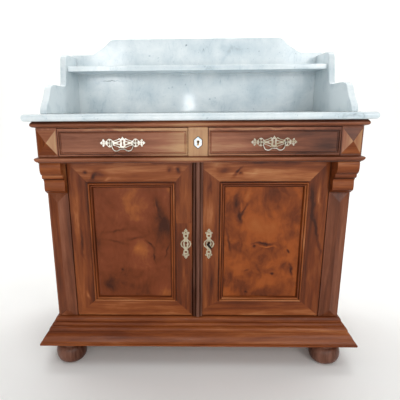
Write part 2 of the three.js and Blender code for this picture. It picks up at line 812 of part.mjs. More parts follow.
const bailRouteShares = [
  [1, 0], [1, -0.2], [0.97, -0.5], [0.88, -0.8], [0.72, -0.97], [0.56, -1], [0.4, -0.92], [0.24, -0.8], [0, -0.74],
];
const bailKnobShare = 0.74;
function bail(name, parent, place) {
  const half = bailRouteShares.map(([u, v]) => new THREE.Vector3(u * bailHalf, 0, v * bailDrop));
  const mirrored = half.slice(0, -1).reverse().map((p) => new THREE.Vector3(-p.x, p.y, p.z));
  const route = new THREE.CatmullRomCurve3([...half, ...mirrored]);
  const section = outline(arc(0, 0, bailRadius, bailRadius, 0, 300, 5));
  const loop = new THREE.ExtrudeGeometry(section, { steps: 18, extrudePath: route, bevelEnabled: false });
  const pinLength = rosetteSpread - bailHalf;
  const pins = sides.map(([, side]) =>
    bar(bailPinRadius, pinLength, 'x', [side * (bailHalf + pinLength / 2), 0, 0], 8));
  const eyes = sides.map(([, side]) => new THREE.SphereGeometry(bailRadius, 6, 4)
    .translate(side * bailHalf, 0, 0));
  const knob = new THREE.SphereGeometry(1, 8, 5).scale(bailKnobHalf, bailKnobRadius, bailKnobRadius)
    .translate(0, 0, -bailKnobShare * bailDrop);
  piece(`bail_${name}`, join(loop, knob, ...pins, ...eyes), nickel, parent, place);
}

// Drawers: a moulded front, two sides, a back and a bottom. The bead of the front is given as shares
// of its width and of its depth.
const fieldBeadShares = [[0.25, 1], [0.5, 0.8], [0.9, 1]];
function drawer(name, side) {
  const width = drawerOuter - drawerInner;
  const height = drawerOpening - 2 * drawerGap;
  const centreX = (side * (drawerOuter + drawerInner)) / 2;
  const group = assembly([centreX, friezeFace, dustTop + drawerOpening / 2]);
  const step = (across, depth) => [fieldSideMargin + across, fieldTopMargin + across, depth];
  const front = steppedBoard(width, height, drawerFrontThick, [
    step(0, 0), step(fieldQuirk / 3, fieldSunk), step(fieldQuirk, fieldSunk),
    ...fieldBeadShares.map(([across, depth]) => step(fieldQuirk + fieldBead * across, fieldBeadSunk * depth)),
    step(fieldQuirk + fieldBead, fieldDepth),
  ]);
  piece(`drawer_front_${name}`, front, walnut, group);
  drawerPull(name, group, [0, fieldDepth, -lockDrop]);

  const boxHalf = (boxOuter - boxInner) / 2;
  const low = -drawerOpening / 2 + seat;
  const high = low + drawerSideHeight;
  const from = drawerFrontThick + seat;
  const to = backFace - drawerBackClear - friezeFace;
  for (const [place, at] of sides) {
    const across = ordered(at * boxHalf, at * (boxHalf - drawerSideThick));
    const boardSide = block(across, [from, to], [low, high]);
    const isInner = at !== side;
    // The inner side carries the catch that the drawer lock holds
    const catchAcross = ordered(at * (boxHalf - overlapJoin), at * (boxHalf + catchWidth));
    const catchFrom = frontThick + 2 * seat + drawerLockThick + latchThick + 2 * running + catchPlay;
    const catchUp = [-lockDrop - catchHeight / 2, -lockDrop + catchHeight / 2];
    const lug = block(catchAcross, [catchFrom, catchFrom + catchLength], catchUp);
    piece(`drawer_side_${place}_${name}`, isInner ? join(boardSide, lug) : boardSide, plainWood, group);
  }
  const inner = boxHalf - drawerSideThick - seat;
  const floor = low + drawerBottomRaise;
  const behind = to - drawerBackThick - seat;
  piece(`drawer_back_${name}`, block([-inner, inner], [to - drawerBackThick, to], [low, high]), plainWood, group);
  piece(`drawer_bottom_${name}`, block([-inner, inner], [from, behind], [floor, floor + drawerBottomThick]),
    plainWood, group);
}

// Keyhole: a round eye over a straight slot, placed and sized in shares of the eye's radius
const eyeLiftShare = 0.6;
const slotHalfShare = 0.6;
const slotDropShare = 1.9;
function keyhole(eye) {
  const slot = [-1, 1].map((side) => [side * slotHalfShare * eye, -slotDropShare * eye]);
  return hole([...arc(0, eyeLiftShare * eye, eye, eye, -50, 230, 8), ...slot]);
}

// Drawer lock: a six-sided key plate, a case behind the stile and a latch that turns across both drawers
const hexShoulderShare = 0.22;
function drawerLock() {
  const shoulder = hexHeight * hexShoulderShare;
  const shape = outline([
    [0, -hexHeight / 2], [hexWidth / 2, -shoulder], [hexWidth / 2, shoulder],
    [0, hexHeight / 2], [-hexWidth / 2, shoulder], [-hexWidth / 2, -shoulder],
  ]);
  shape.holes.push(keyhole(hexEyeRadius));
  piece('key_plate_centre', upright(shape, hexThick), pearl, washstand,
    [0, friezeFace - hexThick - seat, lockLevel]);

  const group = assembly([0, friezeFace + frontThick + seat, lockLevel]);
  const body = block([-drawerLockWidth / 2, drawerLockWidth / 2], [0, drawerLockThick],
    [-drawerLockHeight / 2, drawerLockHeight / 2]);
  const bore = bar(latchSpindleRadius + running, drawerLockThick + 2 * overrun, 'y', [0, drawerLockThick / 2, 0]);
  piece('drawer_lock_case', cut(body, bore), iron, group);

  const latchAt = drawerLockThick + running;
  const arm = block([-latchWidth / 2, latchWidth / 2], [latchAt, latchAt + latchThick], [-latchHalf, latchHalf]);
  const spindleLength = drawerLockThick + latchThick;
  const spindle = bar(latchSpindleRadius, spindleLength, 'y', [0, latchAt + latchThick - spindleLength / 2, 0]);
  piece('drawer_lock_latch', join(arm, spindle), iron, group);
}

// Doors: a frame with a rebate, a sunk panel and a double moulding round it
const meetX = stripCentre - stripWidth / 2;
const doorOuter = halfCase - pilasterWidth - doorGap;
const doorHeight = cupboardOpening - 2 * doorGap;
const keyLevel = plinthTop + keyHeightInDoor;
function doorFrame(inner, side) {
  const width = doorOuter - inner;
  const sightWidth = doorOuter - outerStile - panelInnerEdge;
  const sightHeight = doorHeight - topRail - bottomRail;
  const sightX = side * (doorOuter - outerStile - sightWidth / 2 - (doorOuter + inner) / 2);
  const sightZ = (bottomRail - topRail) / 2;
  return { width, sightWidth, sightHeight, sightX, sightZ };
}

function pivotPlate(name, group, side, isTop, hingeX, edgeX) {
  const up = isTop ? 1 : -1;
  const level = (up * doorHeight) / 2;
  const outerEnd = hingeX + side * pivotPlateEnd;
  const innerEnd = outerEnd - side * pivotPlateLength;
  const front = pivotDepth - pivotPlateFront;
  const back = front + pivotPlateWidth;
  const plate = block(ordered(innerEnd, outerEnd), [front, back],
    ordered(level - up * (pivotPlateThick + seat), level - up * seat));
  const pinLength = pivotPinLength + overlapJoin;
  const pinMiddle = level + up * (pinLength / 2 - overlapJoin - seat);
  const pin = bar(pivotPinRadius, pinLength, 'z', [hingeX, pivotDepth, pinMiddle]);
  piece(name, join(plate, pin), brass, group);
  return block(ordered(innerEnd - side * seat, edgeX + side * overrun), [front - seat, back + seat],
    ordered(level - up * (pivotPlateThick + 2 * seat), level + up * overrun));
}

// Moulding round the panel: a quirk, a bead and a lower bead, in shares of its width
const quirkShare = 0.18;
const outerBeadShare = 0.15;
const innerBeadShare = 0.11;
const innerMiddleShare = 0.69;
function doorMoulding(width, height) {
  const quirk = quirkShare * mouldingWidth;
  const bead = outerBeadShare * mouldingWidth;
  const innerBead = innerBeadShare * mouldingWidth;
  const innerMiddle = innerMiddleShare * mouldingWidth;
  const outerMiddle = quirk + bead;
  const profile = [
    [seat, -mouldingSunk],
    [seat, mouldingRise / 3],
    [quirk, mouldingRise / 4],
    ...arc(outerMiddle, mouldingRise / 2, bead, mouldingRise / 2, 170, 10, 5),
    [outerMiddle + bead + overlapJoin, mouldingRise / 5],
    ...arc(innerMiddle, mouldingInnerRise / 2, innerBead, mouldingInnerRise / 2, 170, 10, 4),
    [innerMiddle + innerBead + overlapJoin, seat],
    [mouldingWidth, -mouldingSunk / 2],
    [mouldingWidth, -mouldingSunk],
  ];
  return framed(profile, width, height);
}

// Key plate of a door: a round middle between two tall tips, each with a window. The tables are
// shares of half the plate's width and half its height.
const escutcheonTipShares = [[0.4, 0.4], [0.46, 0.5], [0.4, 0.7], [0.8, 0.78], [0.32, 0.93], [0, 1]];
const escutcheonWindowShares = [[-0.2, 0.54], [0.2, 0.54], [0.2, 0.64], [-0.2, 0.64]];
const escutcheonRingShare = 0.44;
function escutcheon() {
  const half = escutcheonWidth / 2;
  const high = escutcheonHeight / 2;
  const tip = escutcheonTipShares.map(([u, v]) => [u * half, v * high]);
  const right = [...arc(0, 0, half, escutcheonRingShare * high, 0, 55, 3), ...tip];
  const upper = [...right, ...right.slice(0, -1).reverse().map(([u, v]) => [-u, v])];
  const lower = upper.slice(1, -1).reverse().map(([u, v]) => [u, -v]);
  const shape = outline([...upper, ...lower]);
  shape.holes.push(keyhole(escutcheonEyeRadius));
  for (const up of [-1, 1]) {
    shape.holes.push(hole(escutcheonWindowShares.map(([u, v]) => [u * half, up * v * high])));
  }
  return upright(shape, escutcheonThick);
}

function door(name, side) {
  const inner = side < 0 ? -(meetX - meetGap) : meetX;
  const { width, sightWidth, sightHeight, sightX, sightZ } = doorFrame(inner, side);
  const centreX = (side * (doorOuter + inner)) / 2;
  const group = assembly([centreX, lowerFace, plinthTop + cupboardOpening / 2]);
  const hingeX = side * (width / 2 - pivotInset);
  const lip = mouldingSunk + seat;

  const sight = block([sightX - sightWidth / 2, sightX + sightWidth / 2], [-overrun, doorThick + overrun],
    [sightZ - sightHeight / 2, sightZ + sightHeight / 2]);
  const rebate = block([sightX - sightWidth / 2 - panelLap - seat, sightX + sightWidth / 2 + panelLap + seat],
    [lip, doorThick + overrun],
    [sightZ - sightHeight / 2 - panelLap - seat, sightZ + sightHeight / 2 + panelLap + seat]);
  const body = block([-width / 2, width / 2], [0, doorThick], [-doorHeight / 2, doorHeight / 2]);
  const cutters = [sight, rebate];
  const edgeX = (side * width) / 2;
  cutters.push(pivotPlate(`hinge_top_${name}`, group, side, true, hingeX, edgeX));
  cutters.push(pivotPlate(`hinge_bottom_${name}`, group, side, false, hingeX, edgeX));
  const keyX = side * keyCentre - centreX;
  const keyZ = keyLevel - plinthTop - cupboardOpening / 2;
  if (side > 0) {
    cutters.push(bar(keyHoleRadius, doorThick + 2 * overrun, 'y', [keyX, doorThick / 2, keyZ]));
  }
  piece(`door_frame_${name}`, cut(body, ...cutters), walnut, group);

  const panel = block([sightX - sightWidth / 2 - panelLap, sightX + sightWidth / 2 + panelLap],
    [lip + seat, lip + seat + panelThick],
    [sightZ - sightHeight / 2 - panelLap, sightZ + sightHeight / 2 + panelLap]);
  piece(`door_panel_${name}`, panel, burl, group);
  piece(`door_moulding_${name}`, doorMoulding(sightWidth, sightHeight), walnut, group, [sightX, 0, sightZ]);
  piece(`escutcheon_${name}`, escutcheon(), paleBrass, group, [keyX, -escutcheonThick - seat, keyZ]);
  return { group, centreX, keyX, keyZ, width };
}

// Strike strip: three reeds on the closing edge of the right door. The shares are of the strip's
// width and of its rise.
const reedWidthShare = 0.125;
const reedRiseShare = 0.385;
function strikeStrip({ group, width }) {
  const half = stripWidth / 2;
  const reed = reedWidthShare * stripWidth;
  const reedLevel = -reedRiseShare * stripRise;
  const profile = [
    [-half, -seat],
    [-half, -stripRise / 4],
    ...arc(-half + reed, reedLevel, reed, reed, 200, 330, 3),
    ...arc(0, -stripRise / 3, half - 2 * reed, (2 * stripRise) / 3, 190, 350, 8),
    ...arc(half - reed, reedLevel, reed, reed, 210, 340, 3),
    [half, -stripRise / 4],
    [half, -seat],
  ];
  const length = doorHeight - 2 * seat;
  piece('strike_strip', plan(outline(profile), length), darkWalnut, group,
    [-width / 2 + half, 0, -length / 2]);
}

// Lock of the right door: the key turns a bolt that slides behind the left door
function doorLock({ group, keyX, keyZ, width }) {
  const back = doorThick + seat;
  const edge = -width / 2 + overrun;
  const boltFrom = back + doorLockThick / 2 - doorBoltThick / 2;
  const boltEdge = -width / 2;
  const boltLevels = [keyZ - doorBoltHeight / 2, keyZ + doorBoltHeight / 2];
  const body = block([edge, edge + doorLockWidth], [back, back + doorLockThick],
    [keyZ - doorLockHeight / 2, keyZ + doorLockHeight / 2]);
  const channel = block([edge - overrun, boltEdge + doorBoltLength + doorBoltHeight],
    [boltFrom - running, boltFrom + doorBoltThick + running], [boltLevels[0] - running, boltLevels[1] + running]);
  const chamberDepth = doorLockThick - doorLockWall;
  const chamber = bar(keyBitHeight + keyShankRadius + 2 * running, chamberDepth + overrun, 'y',
    [keyX, back + (chamberDepth - overrun) / 2, keyZ], turnPoints);
  const socket = bar(keyShankRadius + seat, chamberDepth + doorLockWall / 2, 'y',
    [keyX, back + (chamberDepth + doorLockWall / 2) / 2, keyZ], turnPoints);
  piece('door_lock_case', cut(body, channel, chamber, socket), iron, group);
  piece('door_lock_bolt', block([boltEdge, boltEdge + doorBoltLength - running],
    [boltFrom, boltFrom + doorBoltThick], boltLevels), iron, group);

  const key = assembly([keyX, 0, keyZ], group);
  const shankTo = back + chamberDepth + doorLockWall / 2 - seat;
  const bitTo = back + chamberDepth - running;
  const shank = bar(keyShankRadius, keyReach + shankTo, 'y', [0, (shankTo - keyReach) / 2, 0]);
  const bow = new THREE.TorusGeometry(keyBowRadius, keyBowWire, 6, 16).rotateY(Math.PI / 2)
    .translate(0, -keyReach - keyBowRadius + keyBowWire / 2, 0);
  const bit = block([-keyBitWidth / 2, keyBitWidth / 2], [bitTo - keyBitLength, bitTo],
    [-keyShankRadius - keyBitHeight, overlapJoin / 2]);
  key.rotation.y = keyRestTurn;
  piece('door_key', join(shank, bow, bit), iron, key);
}

// Bolt on the back of the left door, which slides up into the dust board
function edgeBolt({ group, centreX }) {
  const x = edgeBoltX - centreX;
  const top = doorHeight / 2 - edgeBoltDrop;
  const from = doorThick + seat + running;
  const strap = block([x - edgeBoltWidth / 2, x + edgeBoltWidth / 2], [from, from + edgeBoltThick],
    [top - edgeBoltLength, top]);
  const knob = bar(edgeBoltKnobRadius, edgeBoltKnobReach + overlapJoin, 'y',
    [x, from + edgeBoltThick + (edgeBoltKnobReach - overlapJoin) / 2, top - edgeBoltLength / 2]);
  piece('door_edge_bolt', join(strap, knob), iron, group);
}

marbleTop();
splashBack();
splashWings();
splashShelf();
caseSides();
backPanel();
bottomBoard();
dustBoard();
topFrame();
cupboardShelf();
faceMoulding('cornice', corniceShares, corniceSpread, corniceHeight - seat, caseTop - corniceHeight);
faceMoulding('waist_moulding', waistShares, waistSpread, dustThick, dustBottom);
plinthFrame();
feet();
cornerBlocks();
centreStile();
pilasters();
corbels();
drawer('left', -1);
drawer('right', 1);
drawerLock();
const leftDoor = door('left', -1);
const rightDoor = door('right', 1);
strikeStrip(rightDoor);
doorLock(rightDoor);
edgeBolt(leftDoor);

export default washstand;
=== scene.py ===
"""Washstand in polished walnut and marble: the looks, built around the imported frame, in metres."""

import itertools
import json
import math

import bmesh
import bpy
from mathutils import Matrix, Vector
from mathutils.geometry import delaunay_2d_cdt

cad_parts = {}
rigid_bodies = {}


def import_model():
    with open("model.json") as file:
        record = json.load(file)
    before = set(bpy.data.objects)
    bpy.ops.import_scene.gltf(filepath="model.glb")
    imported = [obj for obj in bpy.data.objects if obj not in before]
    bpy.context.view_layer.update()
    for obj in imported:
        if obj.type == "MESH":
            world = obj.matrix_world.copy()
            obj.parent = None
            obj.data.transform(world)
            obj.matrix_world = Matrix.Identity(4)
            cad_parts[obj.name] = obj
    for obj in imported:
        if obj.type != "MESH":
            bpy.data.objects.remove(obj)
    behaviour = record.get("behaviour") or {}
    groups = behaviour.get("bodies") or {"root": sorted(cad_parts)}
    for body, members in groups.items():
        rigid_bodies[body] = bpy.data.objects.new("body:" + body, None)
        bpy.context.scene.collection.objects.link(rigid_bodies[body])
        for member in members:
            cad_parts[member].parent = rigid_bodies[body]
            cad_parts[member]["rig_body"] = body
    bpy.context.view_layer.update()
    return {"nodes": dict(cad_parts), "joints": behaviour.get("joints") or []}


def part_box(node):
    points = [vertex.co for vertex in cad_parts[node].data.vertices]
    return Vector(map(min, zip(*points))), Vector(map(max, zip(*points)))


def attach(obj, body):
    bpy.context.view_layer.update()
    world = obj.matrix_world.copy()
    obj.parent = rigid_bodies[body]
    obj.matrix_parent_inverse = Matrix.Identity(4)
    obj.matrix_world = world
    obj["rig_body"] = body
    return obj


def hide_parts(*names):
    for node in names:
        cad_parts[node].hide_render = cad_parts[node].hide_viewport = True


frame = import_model()

bl_info = {
    "name": "Walnut washstand",
    "version": (1, 0, 0),
    "blender": (4, 5, 0),
    "location": "View3D > Sidebar > Washstand",
    "description": "Dresses a walnut washstand with a marble top",
    "category": "Add Mesh",
}

MM = 0.001
FAR = 5.0
SIDES = (("left", -1), ("right", 1))
CORNERS = ((-1, -1), (1, -1), (1, 1), (-1, 1))
BOARDS = itertools.count()
BOARD_STEP = 1.37


def linear(shade):
    """Turns a hex colour in sRGB into linear numbers"""
    parts = [int(shade[i:i + 2], 16) / 255 for i in (1, 3, 5)]
    return tuple(p / 12.92 if p <= 0.04045 else ((p + 0.055) / 1.055) ** 2.4 for p in parts)


def colour(name, description, shade):
    """A colour that the user can change"""
    return bpy.props.FloatVectorProperty(
        name=name, description=description, subtype="COLOR", size=3, min=0, max=1, default=linear(shade))


def length(name, description, default):
    """A length that the user can change"""
    return bpy.props.FloatProperty(
        name=name, description=description, subtype="DISTANCE", unit="LENGTH", min=0, default=default * MM)


class WashstandColours(bpy.types.PropertyGroup):
    """Colours of the washstand's finishes"""
    walnut_heart: colour("Walnut heart", "Darkest streaks of the walnut", "#3C1A0A")
    walnut_brown: colour("Walnut brown", "Brown of the walnut", "#652F12")
    walnut_red: colour("Walnut red", "Red brown of the walnut", "#82441E")
    walnut_light: colour("Walnut light", "Light bands of the walnut", "#A3673E")
    walnut_sap: colour("Walnut sap", "Tan of the lightest walnut", "#BC9062")
    faded_brown: colour("Faded brown", "Brown of the faded frieze", "#6C3A22")
    faded_rose: colour("Faded rose", "Rose brown of the faded frieze", "#8E583E")
    faded_tan: colour("Faded tan", "Tan of the faded frieze", "#AE8660")
    crotch_red: colour("Crotch red", "Red brown of the panels", "#763A1E")
    crotch_flame: colour("Crotch flame", "Warm brown of the right panel", "#8C461A")
    crotch_orange: colour("Crotch orange", "Orange brown of the panels", "#9A5828")
    dark_walnut: colour("Dark walnut", "Stained walnut of the feet and the strip", "#8C6150")
    oak: colour("Plain oak", "Wood of the drawers' insides and the back", "#B08A5A")
    marble_white: colour("Marble white", "Ground of the marble", "#E2EAEC")
    marble_cloud: colour("Marble cloud", "Clouds in the marble", "#BCCCD3")
    marble_vein: colour("Marble vein", "Veins and specks in the marble", "#7F8C94")
    nickel: colour("Nickel plate", "Metal of the drawer pulls", "#CFCCC2")
    dull_nickel: colour("Dulled nickel", "Worn metal of the right pull's plate", "#9C9486")
    tarnish: colour("Tarnish", "Dulled metal in the hollows", "#857A5C")
    pale_brass: colour("Pale brass", "Metal of the door key plates", "#B4AA94")
    brass: colour("Brass", "Metal of the pivots", "#C39A52")
    iron: colour("Iron", "Metal of the locks and the key", "#3A322E")
    burnt_iron: colour("Burnt iron", "Darkest blotches of the iron", "#1F1A18")
    pearl: colour("Pearl", "Shell of the centre key plate", "#EEF2F4")
    pearl_blue: colour("Pearl blue", "Blue drifts in the shell", "#B9D3E2")
    pearl_rose: colour("Pearl rose", "Pink drifts in the shell", "#F3E6E2")
    floor: colour("Floor", "Floor and backdrop", "#FAFAF8")


class WashstandSizes(bpy.types.PropertyGroup):
    """Sizes that the looks add to the frame"""
    arris: length("Wood arris", "Radius of a softened edge of a board", 0.8)
    crest: length("Crest arris", "Radius on the diamonds and the ridges", 0.5)
    marble_arris: length("Marble arris", "Radius of a softened edge of the marble", 2.4)
    metal_arris: length("Metal arris", "Radius of a softened edge of a lock", 0.3)
    plate_rim: length("Plate rim", "Radius round the edges of a pierced plate", 0.4)
    bail_wire: length("Bail wire", "Radius of the bail's wire", 1.5)


def add(tree, kind, links=None, stops=None, **settings):
    """Adds a node with its settings, values and links, and returns it"""
    node = tree.nodes.new(kind)
    for name, value in settings.items():
        setattr(node, name, value)
    if stops:
        ramp = node.color_ramp
        for element, (place, shade) in zip(ramp.elements, (stops[0], stops[-1])):
            element.position = place
            element.color = (*shade, 1)
        for place, shade in stops[1:-1]:
            ramp.elements.new(place).color = (*shade, 1)
    for socket, value in (links or {}).items():
        if isinstance(value, bpy.types.NodeSocket):
            tree.links.new(value, node.inputs[socket])
        else:
            node.inputs[socket].default_value = value
    return node


def started(name):
    """Starts a material, and returns its tree, its shader and the place of each point"""
    material = bpy.data.materials.new(name)
    material.use_nodes = True
    tree = material.node_tree
    place = add(tree, "ShaderNodeTexCoord").outputs["Object"]
    return tree, tree.nodes["Principled BSDF"], place


def noise(tree, vector, size, detail, **inputs):
    """A noise whose features have a size in metres"""
    return add(tree, "ShaderNodeTexNoise", {"Vector": vector, "Scale": 1 / size, "Detail": detail, **inputs})


def mottle(tree, vector, size, detail, **inputs):
    """The value of a noise"""
    return noise(tree, vector, size, detail, **inputs).outputs["Fac"]


def combined(tree, operation, *values):
    """The outcome of a sum on values"""
    return add(tree, "ShaderNodeMath", dict(enumerate(values)), operation=operation).outputs[0]


def moved(tree, operation, *vectors):
    """The outcome of a sum on vectors"""
    return add(tree, "ShaderNodeVectorMath", dict(enumerate(vectors)), operation=operation).outputs[0]


def ranged(tree, value, start, end, low=0.0, high=1.0):
    """A value carried from one range to another, and held within it"""
    return add(tree, "ShaderNodeMapRange", {
        "Value": value, "From Min": start, "From Max": end, "To Min": low, "To Max": high}).outputs["Result"]


def paint(tree, shader, value, stops):
    """Colours the surface by a value"""
    ramp = add(tree, "ShaderNodeValToRGB", {"Fac": value}, stops=stops)
    tree.links.new(ramp.outputs["Color"], shader.inputs["Base Color"])


def roughen(tree, shader, value, low, high):
    """Makes the surface duller or glossier by a value"""
    tree.links.new(ranged(tree, value, 0, 1, low, high), shader.inputs["Roughness"])


def emboss(tree, shader, value, strength, depth):
    """Gives the surface a fine relief by a value"""
    bump = add(tree, "ShaderNodeBump", {"Height": value, "Strength": strength, "Distance": depth})
    tree.links.new(bump.outputs["Normal"], shader.inputs["Normal"])


def wander(tree, vector, size, reach):
    """Pushes the points of a pattern about: size is that of the swirls and reach how far, in metres"""
    swirls = noise(tree, vector, size, 2).outputs["Color"]
    middle = moved(tree, "SUBTRACT", swirls, (0.5, 0.5, 0.5))
    return moved(tree, "MULTIPLY_ADD", middle, (reach, reach, reach), vector)


def patches(tree, vector, table, total=0.0):
    """Adds soft patches to a value. Each is x, z, half width, half height, tilt in degrees, strength."""
    for x, z, wide, high, tilt, strength in table:
        spot = add(tree, "ShaderNodeMapping", {
            "Vector": vector, "Location": (x * MM, 0, z * MM), "Rotation": (0, -math.radians(tilt), 0),
            "Scale": (wide * MM, FAR, high * MM)}, vector_type="TEXTURE").outputs[0]
        glow = add(tree, "ShaderNodeTexGradient", {"Vector": spot}, gradient_type="QUADRATIC_SPHERE")
        total = combined(tree, "MULTIPLY_ADD", glow.outputs["Fac"], strength, total)
    return total


def polish(shader, gloss):
    """Shellac polish, worn thin: a satin wood under a faint glossy coat"""
    shader.inputs["IOR"].default_value = 1.5
    shader.inputs["Specular IOR Level"].default_value = gloss
    shader.inputs["Coat Weight"].default_value = gloss
    shader.inputs["Coat Roughness"].default_value = 0.14


def walnut(name, shades, table=(), band=16 * MM, contrast=0.9, mean=0.4, gloss=0.12):
    """Wood planed along its grain and polished: long streaks and fine pores under a thin glossy coat"""
    tree, shader, place = started(name)
    streak, pore, pore_run, pore_depth = 160 * MM, 1.2 * MM, 14, 0.12
    grain = add(tree, "ShaderNodeAttribute", attribute_name="grain").outputs["Vector"]
    tone = add(tree, "ShaderNodeAttribute", attribute_name="tone").outputs["Fac"]
    drawn = moved(tree, "MULTIPLY", grain, (band / streak, 1, 1))
    wavy = wander(tree, drawn, 4 * band, 1.6 * band)
    bands = mottle(tree, wavy, band, 3, Roughness=0.6)
    broad = mottle(tree, wavy, 5 * band, 1)
    pores = mottle(tree, moved(tree, "MULTIPLY", grain, (1 / pore_run, 1, 1)), pore, 2)
    value = combined(tree, "MULTIPLY_ADD", bands, contrast, mean - pore_depth / 2 - contrast)
    value = combined(tree, "MULTIPLY_ADD", broad, contrast, value)
    value = combined(tree, "ADD", value, tone)
    value = combined(tree, "MULTIPLY_ADD", pores, pore_depth, value)
    paint(tree, shader, patches(tree, wander(tree, place, 35 * MM, 22 * MM), table, value), shades)
    roughen(tree, shader, bands, 0.42, 0.3)
    polish(shader, gloss)
    emboss(tree, shader, pores, 0.15, 0.15 * MM)


def crotch_walnut(name, shades, table, seed):
    """Veneer cut from a forked trunk and polished flat: swirling smoke, small knots and a soft gloss"""
    tree, shader, place = started(name)
    start = moved(tree, "ADD", place, (seed, 0, seed))
    swirl = wander(tree, wander(tree, start, 140 * MM, 90 * MM), 50 * MM, 26 * MM)
    smoke = mottle(tree, swirl, 75 * MM, 4, Roughness=0.55)
    feather = moved(tree, "MULTIPLY", swirl, (1, 1, 0.35))
    fibre = mottle(tree, feather, 11 * MM, 3)
    fine = mottle(tree, feather, 1.5 * MM, 1)
    value = -0.25
    for layer, share in ((smoke, 0.9), (fibre, 0.3), (fine, 0.08)):
        value = combined(tree, "MULTIPLY_ADD", layer, share, value)
    paint(tree, shader, patches(tree, wander(tree, place, 40 * MM, 26 * MM), table, value), shades)
    roughen(tree, shader, fibre, 0.4, 0.28)
    polish(shader, 0.1)
    emboss(tree, shader, fine, 0.1, 0.1 * MM)


def carrara_marble(name, colours):
    """Marble sawn and polished: a cool white with soft grey clouds, faint slanting veins and dark specks"""
    tree, shader, place = started(name)
    drift = wander(tree, place, 110 * MM, 60 * MM)
    clouds = mottle(tree, drift, 80 * MM, 5, Roughness=0.6)
    slant = add(tree, "ShaderNodeMapping", {
        "Vector": drift, "Rotation": (0, math.radians(35), 0), "Scale": (1, 1, 0.3)}).outputs[0]
    threads = mottle(tree, slant, 30 * MM, 2)
    away = combined(tree, "ABSOLUTE", combined(tree, "SUBTRACT", threads, 0.5))
    vein = combined(tree, "MULTIPLY", ranged(tree, away, 0, 0.03, 1, 0), ranged(tree, clouds, 0.45, 0.65))
    specks = ranged(tree, mottle(tree, drift, 5 * MM, 1), 0.7, 0.8)
    value = ranged(tree, clouds, 0.32, 0.72, 0, 0.52)
    value = combined(tree, "MULTIPLY_ADD", vein, 0.2, value)
    value = combined(tree, "MULTIPLY_ADD", specks, 0.45, value)
    value = patches(tree, wander(tree, place, 18 * MM, 12 * MM), MARBLE_SPECKS, value)
    paint(tree, shader, value, [
        (0.0, colours.marble_white), (0.6, colours.marble_cloud), (1.0, colours.marble_vein)])
    roughen(tree, shader, clouds, 0.07, 0.13)
    shader.inputs["IOR"].default_value = 1.5


def metal(name, bright, dull, roughness, spread=0.5):
    """Metal cast or forged, then polished: bright with dull blotches, and a faint unevenness"""
    tree, shader, place = started(name)
    blotch = mottle(tree, place, 9 * MM, 3)
    paint(tree, shader, ranged(tree, blotch, 0.42, 0.72, 0, spread), [(0.0, bright), (1.0, dull)])
    roughen(tree, shader, blotch, roughness * 0.8, roughness * 1.3)
    shader.inputs["Metallic"].default_value = 1
    emboss(tree, shader, mottle(tree, place, 1.5 * MM, 1), 0.1, 0.1 * MM)


def mother_of_pearl(name, colours):
    """Shell of the pearl oyster, ground flat: white with blue and pink drifts and a soft gloss"""
    tree, shader, place = started(name)
    paint(tree, shader, mottle(tree, place, 9 * MM, 2, Distortion=1.5), [
        (0.3, colours.pearl_blue), (0.5, colours.pearl), (0.7, colours.pearl_rose)])
    shader.inputs["Roughness"].default_value = 0.22
    shader.inputs["IOR"].default_value = 1.53


def matt_floor(name, colours):
    """Floor painted and left matt: pale, with the faintest unevenness"""
    tree, shader, place = started(name)
    shaded = tuple(0.97 * c for c in colours.floor)
    paint(tree, shader, mottle(tree, place, 1 / 3, 2), [(0.2, shaded), (0.8, colours.floor)])
    shader.inputs["Roughness"].default_value = 0.9


# Specks and patches of the marble, with painted light among them: the patches of negative strength lighten
# the splash back and the wings' inner faces where the shelf and the wings shade them, and the one at x 400, z
# 930 is a painted shadow of the right wing. Each is x, z, half width, half height, tilt, strength
MARBLE_SPECKS = (
    (-37, 1073, 8, 6, 20, 1.2), (-178, 1037, 7, 6, 0, 0.7), (-143, 1031, 8, 4, 30, 0.6),
    (-91, 923, 5, 4, 0, 0.8), (-40, 934, 4, 10, 0, 0.7), (-101, 1069, 6, 24, 15, 0.35),
    (55, 878, 7, 5, 20, 1.0), (76, 884, 8, 4, -20, 0.9), (240, 1051, 5, 4, 0, 0.8),
    (-170, 890, 70, 60, -40, 0.35), (243, 880, 120, 110, 0, 0.5), (110, 1030, 14, 80, -35, 0.3),
    # Painted light: the patches of negative strength below lighten the marble where the shelf and the wings
    # shade it, and the one at x 400, z 930 is a painted shadow
    (-330, 949, 70, 4, 0, 1.3), (-300, 1000, 140, 50, 0, -0.3), (-300, 890, 140, 60, 0, -0.25),
    (80, 900, 120, 60, 0, -0.25), (400, 930, 70, 70, 0, 0.12), (420, 820, 200, 14, 0, 0.5),
    (95, 945, 4, 16, 0, 0.6), (0, 982, 470, 14, 0, 0.3), (180, 1060, 260, 60, 0, 0.45),
    (-455, 880, 75, 110, 0, -0.4), (455, 880, 75, 110, 0, -0.4), (-150, 862, 160, 70, 0, -0.2))
